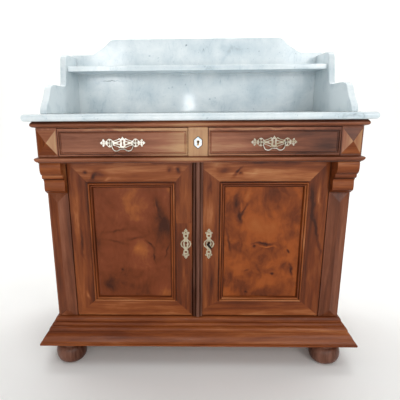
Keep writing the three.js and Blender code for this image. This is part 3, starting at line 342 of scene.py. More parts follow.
# Streaks and knots of the door frames, and a painted shadow along the top of each door under the waist
# moulding
FRAME_FIGURE = (
    (-60, 661, 14, 18, 0, -0.85), (-85, 662, 16, 14, 0, -0.52), (-352, 654, 14, 10, 30, -0.65),
    (-323, 642, 14, 26, -30, -0.85), (-305, 652, 40, 30, 0, -0.33), (-284, 632, 26, 8, 25, 0.26),
    (-190, 640, 110, 20, 0, -0.13), (123, 654, 8, 34, -40, -0.85), (133, 647, 16, 8, 0, -0.78),
    (80, 655, 40, 26, 0, -0.45), (60, 672, 30, 22, 0, 0.23), (180, 655, 60, 24, 20, 0.16),
    (-390, 520, 18, 150, 3, 0.2), (-372, 420, 10, 110, 2, -0.45), (-366, 235, 8, 34, 8, 0.39),
    (-40, 580, 40, 110, 0, 0.2), (-40, 420, 40, 90, 0, -0.2), (-40, 290, 14, 70, 0, 0.26),
    (379, 560, 16, 110, 4, 0.39), (358, 560, 9, 90, 8, -0.59), (374, 470, 10, 80, 14, -0.59),
    (391, 400, 10, 90, 10, -0.39), (371, 310, 18, 110, 0, 0.23), (40, 610, 12, 60, -8, -0.33),
    (42, 520, 30, 100, 0, 0.2), (45, 280, 40, 120, 0, -0.23), (-200, 190, 160, 20, 0, 0.13),
    # The two strips at z 686 are painted shadow under the waist moulding
    (230, 190, 160, 20, 0, 0.07), (-210, 686, 260, 8, 0, -0.5), (210, 686, 260, 8, 0, -0.5),
    (230, 650, 120, 24, 0, 0.25))
# Smoke, knots and light flames of the two panels, with painted light and shade: both panels are darker
# towards the bottom, and the left one lighter at its top
LEFT_FIGURE = (
    # The first patch is painted light on the top of the left panel
    (-214, 575, 150, 110, 0, 0.23), (-127, 545, 36, 100, 22, -0.54), (-110, 485, 60, 90, 18, -0.42),
    (-133, 545, 6, 40, 12, 0.3), (-85, 600, 30, 50, 0, 0.35), (-260, 462, 85, 12, 8, -0.38),
    (-320, 420, 40, 60, 0, -0.29), (-262, 425, 70, 10, -14, -0.35), (-200, 440, 60, 14, 14, -0.48),
    (-155, 418, 10, 44, 34, -0.54), (-141, 375, 6, 40, 5, -0.42), (-196, 402, 44, 26, -10, 0.2),
    # The patches at z 270 are painted shade low on the left panel
    (-250, 333, 10, 14, 20, -0.48), (-300, 270, 90, 90, 0, -0.26), (-210, 270, 150, 70, 0, -0.22),
    (-110, 250, 60, 40, 30, 0.1), (-98, 395, 5, 50, -20, -0.48), (-330, 540, 30, 80, 0, 0.1),
    (-190, 500, 120, 26, -12, 0.14), (-290, 350, 60, 40, 20, 0.1), (-180, 335, 90, 24, -20, 0.12))
RIGHT_FIGURE = (
    (158, 580, 20, 60, -10, 0.45), (122, 560, 16, 60, -12, -0.4), (132, 510, 14, 50, 0, -0.5),
    (148, 530, 7, 50, -30, -0.4), (138, 545, 6, 30, 0, 0.3), (181, 480, 60, 50, 30, 0.24),
    (253, 470, 60, 50, 0, 0.12), (240, 580, 70, 60, 0, -0.14), (212, 420, 55, 8, 4, -0.6),
    (184, 408, 9, 8, 0, -0.6), (225, 412, 36, 4, 0, 0.7), (250, 410, 22, 7, -20, 0.24),
    (294, 393, 10, 8, -20, -0.8), (244, 316, 10, 8, 0, -0.8), (163, 247, 10, 8, 30, -0.5),
    (164, 328, 14, 4, 20, -0.36), (307, 328, 8, 50, 12, -0.5), (285, 345, 24, 36, -30, -0.26),
    (103, 420, 8, 60, 8, -0.4), (243, 280, 60, 40, 0, 0.12), (110, 310, 26, 60, 20, -0.2),
    # The last patch is painted shade low on the right panel
    (200, 245, 150, 60, 0, -0.3))
# Painted sheen and shade on the frieze: lightest round its middle and along the drawers' tops, darker to the
# right and along the drawers' bottoms
FRIEZE_FIGURE = (
    (-30, 748, 210, 220, 0, 0.5), (370, 748, 220, 200, 0, -0.3), (-330, 748, 160, 200, 0, 0.06),
    (120, 748, 90, 60, 0, 0.16), (-200, 787, 300, 9, 0, 0.5), (200, 787, 300, 9, 0, 0.4),
    (-260, 712, 200, 6, 0, -0.25), (300, 712, 160, 6, 0, -0.2))


def new_object(name, bm):
    """Makes an object of a finished mesh"""
    mesh = bpy.data.meshes.new(name)
    bm.to_mesh(mesh)
    bm.free()
    obj = bpy.data.objects.new(name, mesh)
    bpy.context.scene.collection.objects.link(obj)
    return obj


def board(axis, tone=0.0):
    """A rule for one board: the axis that its grain runs along, its number and how light it is"""
    number = next(BOARDS)
    return lambda face: (axis, number, tone)


def mitred(half, front, spread, depth, upper, tone):
    """A rule for a moulding that runs round three sides. Painted shade darkens it towards the back and on its
    upper faces, and painted light lightens its nose.
    """
    numbers = [next(BOARDS) for _ in range(3)]

    def rule(face):
        sideways, forwards = abs(face.center.x) - half, front - face.center.y
        # Painted shade and light by how far out a face stands, and painted shade on faces that look up
        shade = tone + depth * (max(sideways, forwards) / spread - 0.6) - upper * max(0, face.normal.z)
        if forwards >= sideways:
            return "x", numbers[0], shade
        return "y", numbers[1 if face.center.x < 0 else 2], shade
    return rule


def lay_grain(mesh, rule):
    """Tells each face its place on its board, along, across and through the grain, and its tone"""
    orders = {"x": (0, 2, 1), "y": (1, 2, 0), "z": (2, 0, 1)}
    places, tones = [], []
    for face in mesh.polygons:
        axis, number, tone = rule(face)
        shift = (number * BOARD_STEP, number * BOARD_STEP / 3, 0)
        for corner in face.loop_indices:
            point = mesh.vertices[mesh.loops[corner].vertex_index].co
            places += [point[i] + by for i, by in zip(orders[axis], shift)]
            tones.append(tone)
    mesh.attributes.new("grain", "FLOAT_VECTOR", "CORNER").data.foreach_set("vector", places)
    mesh.attributes.new("tone", "FLOAT", "CORNER").data.foreach_set("value", tones)


def dress(obj, finish, like, rule=None, smooth=38):
    """Gives a piece its finish, on the body of a CAD node"""
    mesh = obj.data
    mesh.materials.clear()
    mesh.materials.append(bpy.data.materials[finish])
    mesh.shade_smooth()
    mesh.set_sharp_from_angle(angle=math.radians(smooth))
    if rule:
        lay_grain(mesh, rule)
    obj.modifiers.new("Even faces", "WEIGHTED_NORMAL").keep_sharp = True
    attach(obj, frame["nodes"][like]["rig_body"])


def stand_for(obj, finish, *nodes, rule=None, smooth=38):
    """Gives a piece its finish and lets it stand for its CAD nodes"""
    dress(obj, finish, nodes[0], rule, smooth)
    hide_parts(*nodes)
    return obj


def copied(node):
    """The mesh of a CAD node, with its flat faces whole again"""
    bm = bmesh.new()
    bm.from_mesh(frame["nodes"][node].data)
    bmesh.ops.remove_doubles(bm, verts=bm.verts, dist=0.002 * MM)
    bmesh.ops.dissolve_limit(bm, angle_limit=math.radians(1), verts=bm.verts, edges=bm.edges)
    return bm


def cut(bm, place, across):
    """Parts the faces of a mesh along a plane, and keeps both halves"""
    everything = bm.verts[:] + bm.edges[:] + bm.faces[:]
    bmesh.ops.bisect_plane(bm, geom=everything, plane_co=place, plane_no=across)


def soften(bm, arris, sharper=30, segments=2):
    """Rounds the edges that turn by more than an angle"""
    edges = [e for e in bm.edges if e.is_manifold and e.calc_face_angle() > math.radians(sharper)]
    bmesh.ops.bevel(
        bm, geom=edges, offset=arris, segments=segments, profile=0.5, affect="EDGES", clamp_overlap=True)
    return bm


def softened(node, finish, arris, rule=None, sharper=30, segments=2):
    """A copy of a CAD node with rounded edges, which stands for it"""
    obj = new_object(f"{node}.dressed", soften(copied(node), arris, sharper, segments))
    return stand_for(obj, finish, node, rule=rule)


def skin(rings, is_loop=False):
    """Joins rings of points, all with the same count, into one closed skin"""
    bm = bmesh.new()
    rows = [[bm.verts.new(point) for point in ring] for ring in rings]
    count = len(rows[0])
    following = rows[1:] + rows[:1] if is_loop else rows[1:]
    for near, far in zip(rows, following):
        for i in range(count):
            j = (i + 1) % count
            bm.faces.new((near[i], near[j], far[j], far[i]))
    if not is_loop:
        bm.faces.new(rows[0])
        bm.faces.new(rows[-1][::-1])
    bmesh.ops.recalc_face_normals(bm, faces=bm.faces)
    return bm


def add_box(bm, low, high):
    """Adds a box between two corners"""
    size = Vector(high) - Vector(low)
    middle = (Vector(high) + Vector(low)) / 2
    bmesh.ops.create_cube(bm, size=1, matrix=Matrix.Translation(middle) @ Matrix.Diagonal((*size, 1)))


def arc(centre_u, centre_v, radius_u, radius_v, start, end, steps=8):
    """Points of an arc between two angles in degrees"""
    angles = [math.radians(start + (end - start) * i / steps) for i in range(steps + 1)]
    return [(centre_u + radius_u * math.cos(a), centre_v + radius_v * math.sin(a)) for a in angles]


def flowing(points, steps=4, is_loop=False):
    """A smooth run of points through the ones given, between which it is a cubic"""
    def between(a, b, c, d, t):
        square, cube = 2 * a - 5 * b + 4 * c - d, 3 * b - a - 3 * c + d
        return 0.5 * (2 * b + (c - a) * t + square * t ** 2 + cube * t ** 3)
    points = [tuple(point) for point in points]
    padded = [points[-1], *points, *points[:2]] if is_loop else [points[0], *points, points[-1]]
    run = []
    for four in zip(padded, padded[1:], padded[2:], padded[3:]):
        run += [tuple(between(*values, i / steps) for values in zip(*four)) for i in range(steps)]
    return run if is_loop else [*run, points[-1]]


def three_sided(profile, half, front, back, bottom):
    """Runs a profile, given as outwards and up, round both sides and the front"""
    def station(side, is_front):
        return [(side * (half + out), front - out if is_front else back, bottom + up) for out, up in profile]
    return skin([station(-1, False), station(-1, True), station(1, True), station(1, False)])


def nested(centre, width, height, steps):
    """A board whose front steps through rectangles: side inset, top inset, y of each and how low it sits"""
    def rectangle(across, up, y, drop=0.0):
        u, v = width / 2 - across, height / 2 - up
        return [(centre.x + right * u, y, centre.z - drop + side * v) for right, side in CORNERS]
    return skin([rectangle(*step) for step in steps])


def framed(profile, centre, width, height):
    """Runs a profile, given as inwards and forwards, round an upright rectangle"""
    def corner(right, up):
        return [
            (centre.x + right * (width / 2 - inward), centre.y - forward,
             centre.z + up * (height / 2 - inward)) for inward, forward in profile]
    return skin([corner(*signs) for signs in CORNERS], is_loop=True)


def turned(profile, centre, steps=48):
    """Turns a profile, given as radius and height, round an upright axis"""
    rings = []
    for i in range(steps):
        angle = 2 * math.pi * i / steps
        right, away = math.cos(angle), math.sin(angle)
        rings.append([(centre.x + r * right, centre.y + r * away, centre.z + z) for r, z in profile])
    bm = skin(rings, is_loop=True)
    bmesh.ops.remove_doubles(bm, verts=bm.verts, dist=0.01 * MM)
    return bm


def inset(points, depth):
    """Moves a closed outline to its left by a depth"""
    outline = []
    for before, here, after in zip(points[-1:] + points[:-1], points, points[1:] + points[:1]):
        across = Vector((before[1] - after[1], after[0] - before[0])).normalized()
        outline.append((here[0] + depth * across.x, here[1] + depth * across.y))
    return outline


def is_within(spot, outlines):
    """Tells whether a point lies inside the first outline and outside the holes"""
    crossed = 0
    for points in outlines:
        for (u0, v0), (u1, v1) in zip(points, points[1:] + points[:1]):
            if (v0 > spot.y) != (v1 > spot.y):
                crossed += u0 + (spot.y - v0) * (u1 - u0) / (v1 - v0) > spot.x
    return crossed % 2 == 1


def pierced(outlines, thick, rim, centre):
    """A sheet cut from closed outlines in mm. The first is its edge, the rest holes.

    A known fault: thick and rim come in metres but are scaled like the outlines. So a plate is a thousandth
    as thick as it should be, lies flat in the middle of its depth, and has no rounding that shows.
    """
    runs = []
    for place, points in enumerate(outlines):
        run = flowing(points, 3, is_loop=True)
        area = sum(a[0] * b[1] - b[0] * a[1] for a, b in zip(run, run[1:] + run[:1]))
        runs.append(run[::-1] if (area < 0) == (place == 0) else run)
    bm = bmesh.new()
    levels = []
    face, turn = -thick / 2, 0.3 * rim
    for depth, y in ((rim, face), (turn, turn + face), (0, rim + face), (0, -face)):
        flat = [inset(run, depth) for run in runs]
        rings = [[bm.verts.new(centre + MM * Vector((u, y, v))) for u, v in run] for run in flat]
        levels.append((flat, rings))
    for (_, near), (_, far) in zip(levels, levels[1:]):
        for front, behind in zip(near, far):
            for i in range(len(front)):
                bm.faces.new((front[i - 1], front[i], behind[i], behind[i - 1]))
    for flat, rings in (levels[0], levels[-1]):
        spots, corners, edges = [], [], []
        for run, ring in zip(flat, rings):
            edges += [(len(spots) + i, len(spots) + (i + 1) % len(run)) for i in range(len(run))]
            spots += [Vector(spot) for spot in run]
            corners += ring
        made, _, faces, sources, *_ = delaunay_2d_cdt(spots, edges, [], 1, 1e-6)
        for face in faces:
            if is_within(sum((made[i] for i in face), Vector((0, 0))) / len(face), flat):
                bm.faces.new([corners[sources[i][0]] for i in face])
    bmesh.ops.recalc_face_normals(bm, faces=bm.faces)
    return bm


def wire(name, points, radius):
    """A round wire along a smooth route of points with a thickness share each"""
    curve = bpy.data.curves.new(name, "CURVE")
    curve.dimensions = "3D"
    curve.bevel_depth = radius
    curve.bevel_resolution = 3
    curve.use_fill_caps = True
    curve.resolution_u = 4
    spline = curve.splines.new("BEZIER")
    spline.bezier_points.add(len(points) - 1)
    for knot, (*place, share) in zip(spline.bezier_points, points):
        knot.co = place
        knot.radius = share
        knot.handle_left_type = knot.handle_right_type = "AUTO"
    route = bpy.data.objects.new(name, curve)
    bpy.context.scene.collection.objects.link(route)
    bm = bmesh.new()
    bm.from_mesh(route.evaluated_get(bpy.context.evaluated_depsgraph_get()).to_mesh())
    bpy.data.objects.remove(route)
    bpy.data.curves.remove(curve)
    return bm


def add_bead(bm, centre, radii, steps=12):
    """Adds a round bead with its own radius along each axis"""
    bmesh.ops.create_uvsphere(
        bm, u_segments=steps, v_segments=steps // 2, radius=1,
        matrix=Matrix.Translation(centre) @ Matrix.Diagonal((*radii, 1)))


def add_mesh(bm, part):
    """Adds a finished mesh to another"""
    mesh = bpy.data.meshes.new("part")
    part.to_mesh(mesh)
    part.free()
    bm.from_mesh(mesh)
    bpy.data.meshes.remove(mesh)


def middle_of(node):
    """The middle of a CAD node's box"""
    low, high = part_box(node)
    return (low + high) / 2


def mirrored(points):
    """An outline whose right half is given from the top round to the bottom"""
    return [*points, *[(-u, v) for u, v in reversed(points) if u]]


class WASHSTAND_OT_finishes(bpy.types.Operator):
    """Mixes the finishes of the washstand"""
    bl_idname = "washstand.finishes"
    bl_label = "Finishes"

    def execute(self, context):
        colours = context.scene.washstand_colours
        shades = [
            (0.0, colours.walnut_heart), (0.3, colours.walnut_brown), (0.52, colours.walnut_red),
            (0.74, colours.walnut_light), (1.0, colours.walnut_sap)]
        faded = [
            (0.0, colours.walnut_heart), (0.26, colours.faded_brown), (0.5, colours.faded_rose),
            (0.78, colours.faded_tan), (1.0, colours.walnut_sap)]
        panel = [
            (0.0, colours.walnut_heart), (0.25, colours.walnut_brown), (0.5, colours.crotch_red),
            (0.8, colours.crotch_orange), (1.0, colours.walnut_light)]
        stained = [(0.1, colours.walnut_heart), (0.9, colours.dark_walnut)]
        pale = [(0.1, tuple(0.7 * c for c in colours.oak)), (0.9, colours.oak)]
        bright = [*panel[:2], (0.46, colours.crotch_flame), (0.8, colours.crotch_orange), panel[4]]
        # Solid walnut, planed and polished: quiet red-brown streaks
        walnut("Walnut case", shades, band=14 * MM, contrast=0.7)
        # The same, faded by daylight under its polish, with painted sheen: rose brown going to tan round the
        # middle, where the sheen is painted. The diamonds and the pilasters use it for their lit facets, as
        # painted sheen
        walnut("Walnut frieze", faded, FRIEZE_FIGURE, contrast=0.6, mean=0.37, gloss=0.16)
        # Knotty walnut, planed and polished: strong streaks with dark knots, and a painted shadow along the
        # top of each door
        walnut("Walnut door frames", shades, FRAME_FIGURE)
        # Veneers sawn from a fork: the left one is dark and smoky, the right one orange and lively; painted
        # shade darkens both towards the bottom, and painted light lightens the top of the left one
        crotch_walnut("Crotch walnut left", panel, LEFT_FIGURE, 3.1)
        crotch_walnut("Crotch walnut right", bright, RIGHT_FIGURE, 7.7)
        # Walnut turned or planed, then stained and polished: narrow streaks in a grey brown
        walnut("Stained walnut", stained, band=10 * MM)
        # Oak, planed and rubbed with wax: pale, with narrow streaks
        walnut("Plain oak", pale, band=9 * MM)
        carrara_marble("Carrara marble", colours)
        # Cast and plated, then polished: near white, with yellowed blotches, and duller on the right pull
        metal("Nickel plate", colours.nickel, colours.tarnish, 0.36, 0.6)
        metal("Dulled nickel plate", colours.dull_nickel, colours.tarnish, 0.4, 0.8)
        # Brass cast, and the pale one washed with nickel that has worn: soft, warm and blotched
        metal("Pale brass", colours.pale_brass, colours.tarnish, 0.34, 0.6)
        metal("Brass", colours.brass, colours.tarnish, 0.35)
        # Iron forged and blackened in oil: nearly black, with a dull shine
        metal("Blackened iron", colours.iron, colours.burnt_iron, 0.45)
        mother_of_pearl("Mother of pearl", colours)
        matt_floor("Matt floor", colours)
        return {"FINISHED"}


class WASHSTAND_OT_marble(bpy.types.Operator):
    """Lays the slab and sets the splash back, its wings and its shelf"""
    bl_idname = "washstand.marble"
    bl_label = "Marble"

    # Right half of the splash back's sweep, in mm out from its middle and up from its shoulder
    sweep = (
        (304, 54), (313, 53.2), (321, 50.6), (329, 45.6), (336, 38.6), (343, 31.8), (352, 25), (364, 18),
        (378, 9.4), (388, 3.4), (398, 0))
    nose_share = 0.4

    def execute(self, context):
        arris = context.scene.washstand_sizes.marble_arris
        low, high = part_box("marble_top")
        nose = self.nose_share * (high.z - low.z)
        face = arc(-nose, middle_of("marble_top").z, nose, (high.z - low.z) / 2, -90, 90, 16)
        rings = [[(low.x - out, high.y, z), (low.x - out, low.y - out, z),
                  (high.x + out, low.y - out, z), (high.x + out, high.y, z)] for out, z in face]
        stand_for(new_object("slab", skin(rings)), "Carrara marble", "marble_top", smooth=50)
        self.splash(arris)
        for node in ("splash_wing_left", "splash_wing_right", "splash_shelf"):
            softened(node, "Carrara marble", arris, sharper=50, segments=3)
        return {"FINISHED"}

    def splash(self, arris):
        """A wide crown between two low shoulders"""
        low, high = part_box("splash_back")
        shoulder = high.z - self.sweep[0][1] * MM
        half = [(u * MM, shoulder + v * MM) for u, v in flowing(self.sweep, 2)]
        half += [(high.x, shoulder), (high.x, low.z)]
        outline = [*half, *[(-x, z) for x, z in reversed(half)]]
        bm = soften(skin([[(x, y, z) for x, z in outline] for y in (low.y, high.y)]), arris, 50, 3)
        stand_for(new_object("splash_back.swept", bm), "Carrara marble", "splash_back", smooth=50)


class WASHSTAND_OT_case(bpy.types.Operator):
    """Joins the sides, the boards between them and the back"""
    bl_idname = "washstand.case"
    bl_label = "Case"

    def execute(self, context):
        arris = context.scene.washstand_sizes.arris
        for name, _ in SIDES:
            softened(f"side_{name}", "Walnut case", arris, board("z"))
        for node in ("bottom_board", "dust_board", "top_frame"):
            softened(node, "Walnut case", arris / 2, board("x"))
        softened("back_panel", "Plain oak", arris / 2, board("z"))
        softened("cupboard_shelf", "Plain oak", arris, board("x"))
        return {"FINISHED"}


class WASHSTAND_OT_mouldings(bpy.types.Operator):
    """Runs the cornice, the waist moulding and the plinth round the case"""
    bl_idname = "washstand.mouldings"
    bl_label = "Mouldings"
    cornice_shares = (
        (0.1, 0), (0.1, 0.03), (0.42, 0.06), (0.84, 0.2), (1, 0.44), (0.94, 0.64), (0.72, 0.84), (0.5, 1))
    waist_shares = (
        (0.15, 0), (0.15, 0.12), (0.45, 0.18), (0.84, 0.4), (1, 0.64), (0.94, 0.79), (0.7, 0.87), (0.5, 0.91),
        (0.3, 0.95), (0.1, 0.99))
    cornice_spread = 12 * MM
    # Painted shade: how much darker the hollows and the upper faces are, then how light the whole is
    shading = {
        "cornice": (0.3, 0.35, -0.06), "waist_moulding": (0.35, 0.0, -0.02), "plinth_frame": (0.06, 0, 0.06)}
    bead_shares = ((0.03, 0.0), (0.2, 0.2), (0.34, 0.34), (0.53, 0.53))
    ogee_shares = (
        (0, 0), (0.07, 0.02), (0.25, 0.15), (0.44, 0.36), (0.6, 0.62), (0.76, 0.86), (0.88, 0.97), (1, 1))
    groove_share = 0.03
    # How far the plinth reaches in behind the sides, and its inner blocks and back rail
    lip_share = 1.8
    block, back_rail = 100 * MM, 20 * MM
    fascia = 6 * MM
    seam = 0.3 * MM

    def execute(self, context):
        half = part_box("side_right")[1].x
        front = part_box("centre_stile")[0].y
        for node, shares in (("cornice", self.cornice_shares), ("waist_moulding", self.waist_shares)):
            low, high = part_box(node)
            spread, height = high.x - half, high.z - low.z
            if node == "cornice":
                spread = self.cornice_spread
            face = [(out * spread, up * height) for out, up in shares]
            profile = [(self.seam, 0), face[0], *flowing(face[1:]), (self.seam, height)]
            obj = new_object(f"{node}.run", three_sided(profile, half, front, high.y, low.z))
            rule = mitred(half, front, spread, *self.shading[node])
            stand_for(obj, "Walnut frieze", node, rule=rule, smooth=50)
        self.plinth(half)
        return {"FINISHED"}

    def plinth(self, half):
        low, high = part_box("plinth_frame")
        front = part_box("bottom_board")[0].y
        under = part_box("bottom_board")[0].z - self.seam - low.z
        spread, height = high.x - half, high.z - low.z
        points = [(self.seam, height)]
        for (out_a, down_a), (out_b, down_b) in zip(self.bead_shares, self.bead_shares[1:]):
            bottom = height * (1 - down_b + self.groove_share)
            points += arc(
                out_a * spread, bottom, (out_b - out_a) * spread, height * (1 - down_a) - bottom, 90, 0, 6)
        out, down = self.bead_shares[-1]
        tail = height * (1 - down) - self.fascia
        points += flowing([
            (spread * (out + across * (1 - out)), height * (1 - down) - fall * tail)
            for across, fall in self.ogee_shares])
        inner = -(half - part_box("side_right")[0].x) * self.lip_share
        points += [(spread, 0), (inner, 0), (inner, under), (self.seam, under)]
        bm = three_sided(points, half, front, high.y, low.z)
        reach = half + inner
        for _, side in SIDES:
            for y in (front - inner, high.y - self.block):
                ends = sorted((side * reach, side * (reach - self.block)))
                add_box(bm, (ends[0], y, low.z), (ends[1], y + self.block, low.z + under))
        add_box(bm, (-reach, high.y - self.back_rail, low.z), (reach, high.y, low.z + under))
        rule = mitred(half, front, spread, *self.shading["plinth_frame"])
        stand_for(new_object("plinth_frame.run", bm), "Walnut case", "plinth_frame", rule=rule, smooth=44)


class WASHSTAND_OT_feet(bpy.types.Operator):
    """Turns the four bun feet"""
    bl_idname = "washstand.feet"
    bl_label = "Bun feet"
    # Levels, as shares of the height under the plinth
    belly_share, shoulder_share, neck_share, top_share = 0.41, 0.77, 0.8, 0.995
    collar_share, collar_half_share = 0.885, 0.07
    pad, neck, collar, tenon = 27 * MM, 37 * MM, 41 * MM, 15 * MM

    def execute(self, context):
        for node in (f"foot_{end}_{name}" for end in ("front", "back") for name, _ in SIDES):
            low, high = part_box(node)
            radius = (high.x - low.x) / 2
            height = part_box("plinth_frame")[0].z
            belly, top = self.belly_share * height, self.top_share * height
            shoulder = height * (self.shoulder_share - belly / height)
            collar = arc(
                self.neck, height * self.collar_share, self.collar - self.neck,
                height * self.collar_half_share, -90, 90, 8)
            profile = [
                (0, 0), *arc(self.pad, belly, radius - self.pad, belly, -90, 0, 10),
                *arc(self.neck, belly, radius - self.neck, shoulder, 0, 90, 9)[1:],
                (self.neck, height * self.neck_share), *collar,
                (self.neck, top), (self.tenon, top), (self.tenon, high.z), (0, high.z)]
            obj = new_object(f"{node}.turned", turned(profile, Vector((*middle_of(node).xy, 0))))
            stand_for(obj, "Stained walnut", node, rule=board("z"), smooth=50)
        return {"FINISHED"}


class WASHSTAND_OT_front(bpy.types.Operator):
    """Fits the corner blocks, the centre stile, the pilasters and the corbels"""
    bl_idname = "washstand.front"
    bl_label = "Front of the case"
    # The corbel's profile, as shares of its reach and of its height from the top: a roll, a fillet and a face
    roll_shares = ((0.95, 0), (1, 0.06), (1, 0.2), (0.95, 0.29), (0.84, 0.355))
    fillet_shares = ((0.72, 0.375), (0.74, 0.42), (0.72, 0.48), (0.6, 0.49))
    face_shares = ((0.49, 0.54), (0.44, 0.6), (0.46, 0.72), (0.46, 0.82), (0.43, 0.88))
    foot_shares = ((0.1, 0.98), (0, 1))
    hollow_share = 0.05
    # Painted light and shade on the inner and the outer slope of each pilaster, which differ by how the light
    # falls on them
    slope_tones = {"left": (-0.12, -0.14), "right": (-0.18, -0.12)}
    # Tones of each corbel, then the painted shade in its hollow, the tone of its lower part against the
    # upper, and the painted shade on faces that look down
    corbel_tones = {"left": 0.12, "right": 0.04}
    hollow_tone, lower_tone, under_tone = -0.25, 0.1, 0.25
    # Painted light on the facets of each diamond, by how the light falls on them: left, right, top and bottom
    facet_tones = {"left": (0.08, 0.34, 0.05, 0.05), "right": (0.3, 0.4, -0.12, -0.06)}
    # Width against height of the diamond, where its side facets end
    facet_slant = 0.82
    # Facets given the redder wood of the case as painted shade, where the others take the paler frieze wood
    # as painted sheen: left, right, top and bottom
    red_facets = {"left": (0, 3), "right": (3,)}

    def execute(self, context):
        sizes = context.scene.washstand_sizes
        softened("centre_stile", "Walnut frieze", sizes.arris, board("z"))
        for name, _ in SIDES:
            self.corner_block(name, sizes.crest)
            rule = self.ridge(name)
            shaft = softened(f"pilaster_{name}", "Walnut frieze", sizes.crest, rule, sharper=8)
            # The left pilaster's outer slope takes the redder wood of the case as painted shade, the other
            # slopes the paler wood of the frieze as painted sheen
            shaft.data.materials.append(bpy.data.materials["Walnut case"])
            for slope in shaft.data.polygons:
                slope.material_index = int(name == "left" and slope.normal.x < -0.1)
            self.corbel(name, sizes.arris)
        return {"FINISHED"}

    def ridge(self, name):
        """A rule for a pilaster, whose two slopes differ in painted light and shade"""
        number = next(BOARDS)
        inner, outer = self.slope_tones[name]
        side = dict(SIDES)[name]
        return lambda face: ("z", number, outer if side * face.normal.x > 0.1 else inner)

    def corner_block(self, name, crest):
        """Each facet of the diamond is veneered with its own piece"""
        node = f"corner_block_{name}"
        centre = middle_of(node)
        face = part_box("centre_stile")[0].y
        numbers = [next(BOARDS) for _ in range(5)]
        tones = self.facet_tones[name]

        def rule(facet):
            across, up = facet.center.x - centre.x, facet.center.z - centre.z
            if facet.center.y > face - 0.5 * MM:
                return "z", numbers[4], 0.0
            is_side = abs(across) > abs(up) * self.facet_slant
            place = int(across >= 0) if is_side else 2 + int(up <= 0)
            return "z" if is_side else "x", numbers[place], tones[place]
        obj = softened(node, "Walnut frieze", crest, rule, sharper=8)
        # Facets in shade take the redder wood of the case, as painted shade
        obj.data.materials.append(bpy.data.materials["Walnut case"])
        for facet in obj.data.polygons:
            facet.material_index = int(rule(facet)[1] in [numbers[i] for i in self.red_facets[name]])

    def corbel(self, name, arris):
        """Two round bulges with a fillet between them, in side view"""
        tone = self.corbel_tones[name]
        node = f"corbel_{name}"
        low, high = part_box(node)
        reach, height = high.y - low.y, high.z - low.z
        fillet_end = high.z - self.fillet_shares[-1][1] * height
        shares = [
            *flowing(self.roll_shares), *self.fillet_shares, *flowing(self.face_shares), *self.foot_shares]
        points = [(high.y, high.z), *[(high.y - out * reach, high.z - down * height) for out, down in shares]]
        rings = [[(x, y, z) for y, z in points] for x in (low.x, high.x)]
        bm = soften(skin(rings), arris, sharper=70)
        number = next(BOARDS)

        def rule(face):
            # Painted shade in the hollow under the fillet and on faces that look down
            if fillet_end - self.hollow_share * height < face.center.z < fillet_end:
                return "x", number, self.hollow_tone
            lower = self.lower_tone if face.center.z < fillet_end else 0
            return "x", number, tone + lower + self.under_tone * min(0, face.normal.z)
        stand_for(new_object(f"{node}.carved", bm), "Walnut case", node, rule=rule, smooth=45)


class WASHSTAND_OT_drawers(bpy.types.Operator):
    """Builds both drawers: moulded fronts, sides, backs and bottoms"""
    bl_idname = "washstand.drawers"
    bl_label = "Drawers"
    margin_side, margin_top, edge = 3.5 * MM, 6.5 * MM, 0.8 * MM
    # Widths of the quirk and the bead, depths of the parts below the margin, and how low the field sits
    quirk, bead = 1.5 * MM, 5 * MM
    sunk, bead_sunk, field, drop = 3.6 * MM, 1.5 * MM, 3 * MM, 1.8 * MM
    # Painted sheen on the margin, the tone of the field, and painted shade in the hollow round the field,
    # deepest on its faces that look up
    margin_tone, field_tone, hollow_tone, upper_tone = 0.08, 0.04, -0.08, 0.24

    def execute(self, context):
        arris = context.scene.washstand_sizes.arris
        for name, _ in SIDES:
            self.front(name)
            for place, _ in SIDES:
                softened(f"drawer_side_{place}_{name}", "Plain oak", arris / 2, board("y"))
            softened(f"drawer_back_{name}", "Plain oak", arris / 2, board("x"))
            softened(f"drawer_bottom_{name}", "Plain oak", arris / 4, board("x"))
        return {"FINISHED"}

    def front(self, name):
        node = f"drawer_front_{name}"
        low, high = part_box(node)
        edge, inner = self.edge, self.quirk + self.bead

        def step(across, depth):
            return self.margin_side + across, self.margin_top + across, low.y + depth, self.drop
        crown = arc(0, 0, self.bead / 2, self.sunk - self.bead_sunk, 180, 40, 9)
        steps = [
            (edge, edge, high.y), (0, 0, high.y - edge), (0, 0, low.y + edge),
            (edge / 3, edge / 3, low.y + edge / 3), (edge, edge, low.y),
            step(-edge / 2, 0), step(0, edge / 3), step(self.quirk / 3, self.sunk),
            *[step(self.quirk + self.bead / 2 + u, self.sunk - v) for u, v in crown],
            step(inner, self.field), step(inner + 2 * edge, self.field)]
        bm = nested(middle_of(node), high.x - low.x, high.z - low.z, steps)
        number = next(BOARDS)

        def rule(face):
            """Painted sheen makes the margin lightest and painted shade the hollow round the field darkest"""
            depth = face.center.y - low.y
            if depth < 0.05 * MM:
                return "x", number, self.margin_tone
            if depth > self.field - 0.01 * MM and abs(face.normal.y) > 0.9:
                return "x", number, self.field_tone
            return "x", number, self.hollow_tone - self.upper_tone * max(0, face.normal.z)
        stand_for(new_object(f"{node}.moulded", bm), "Walnut frieze", node, rule=rule, smooth=40)


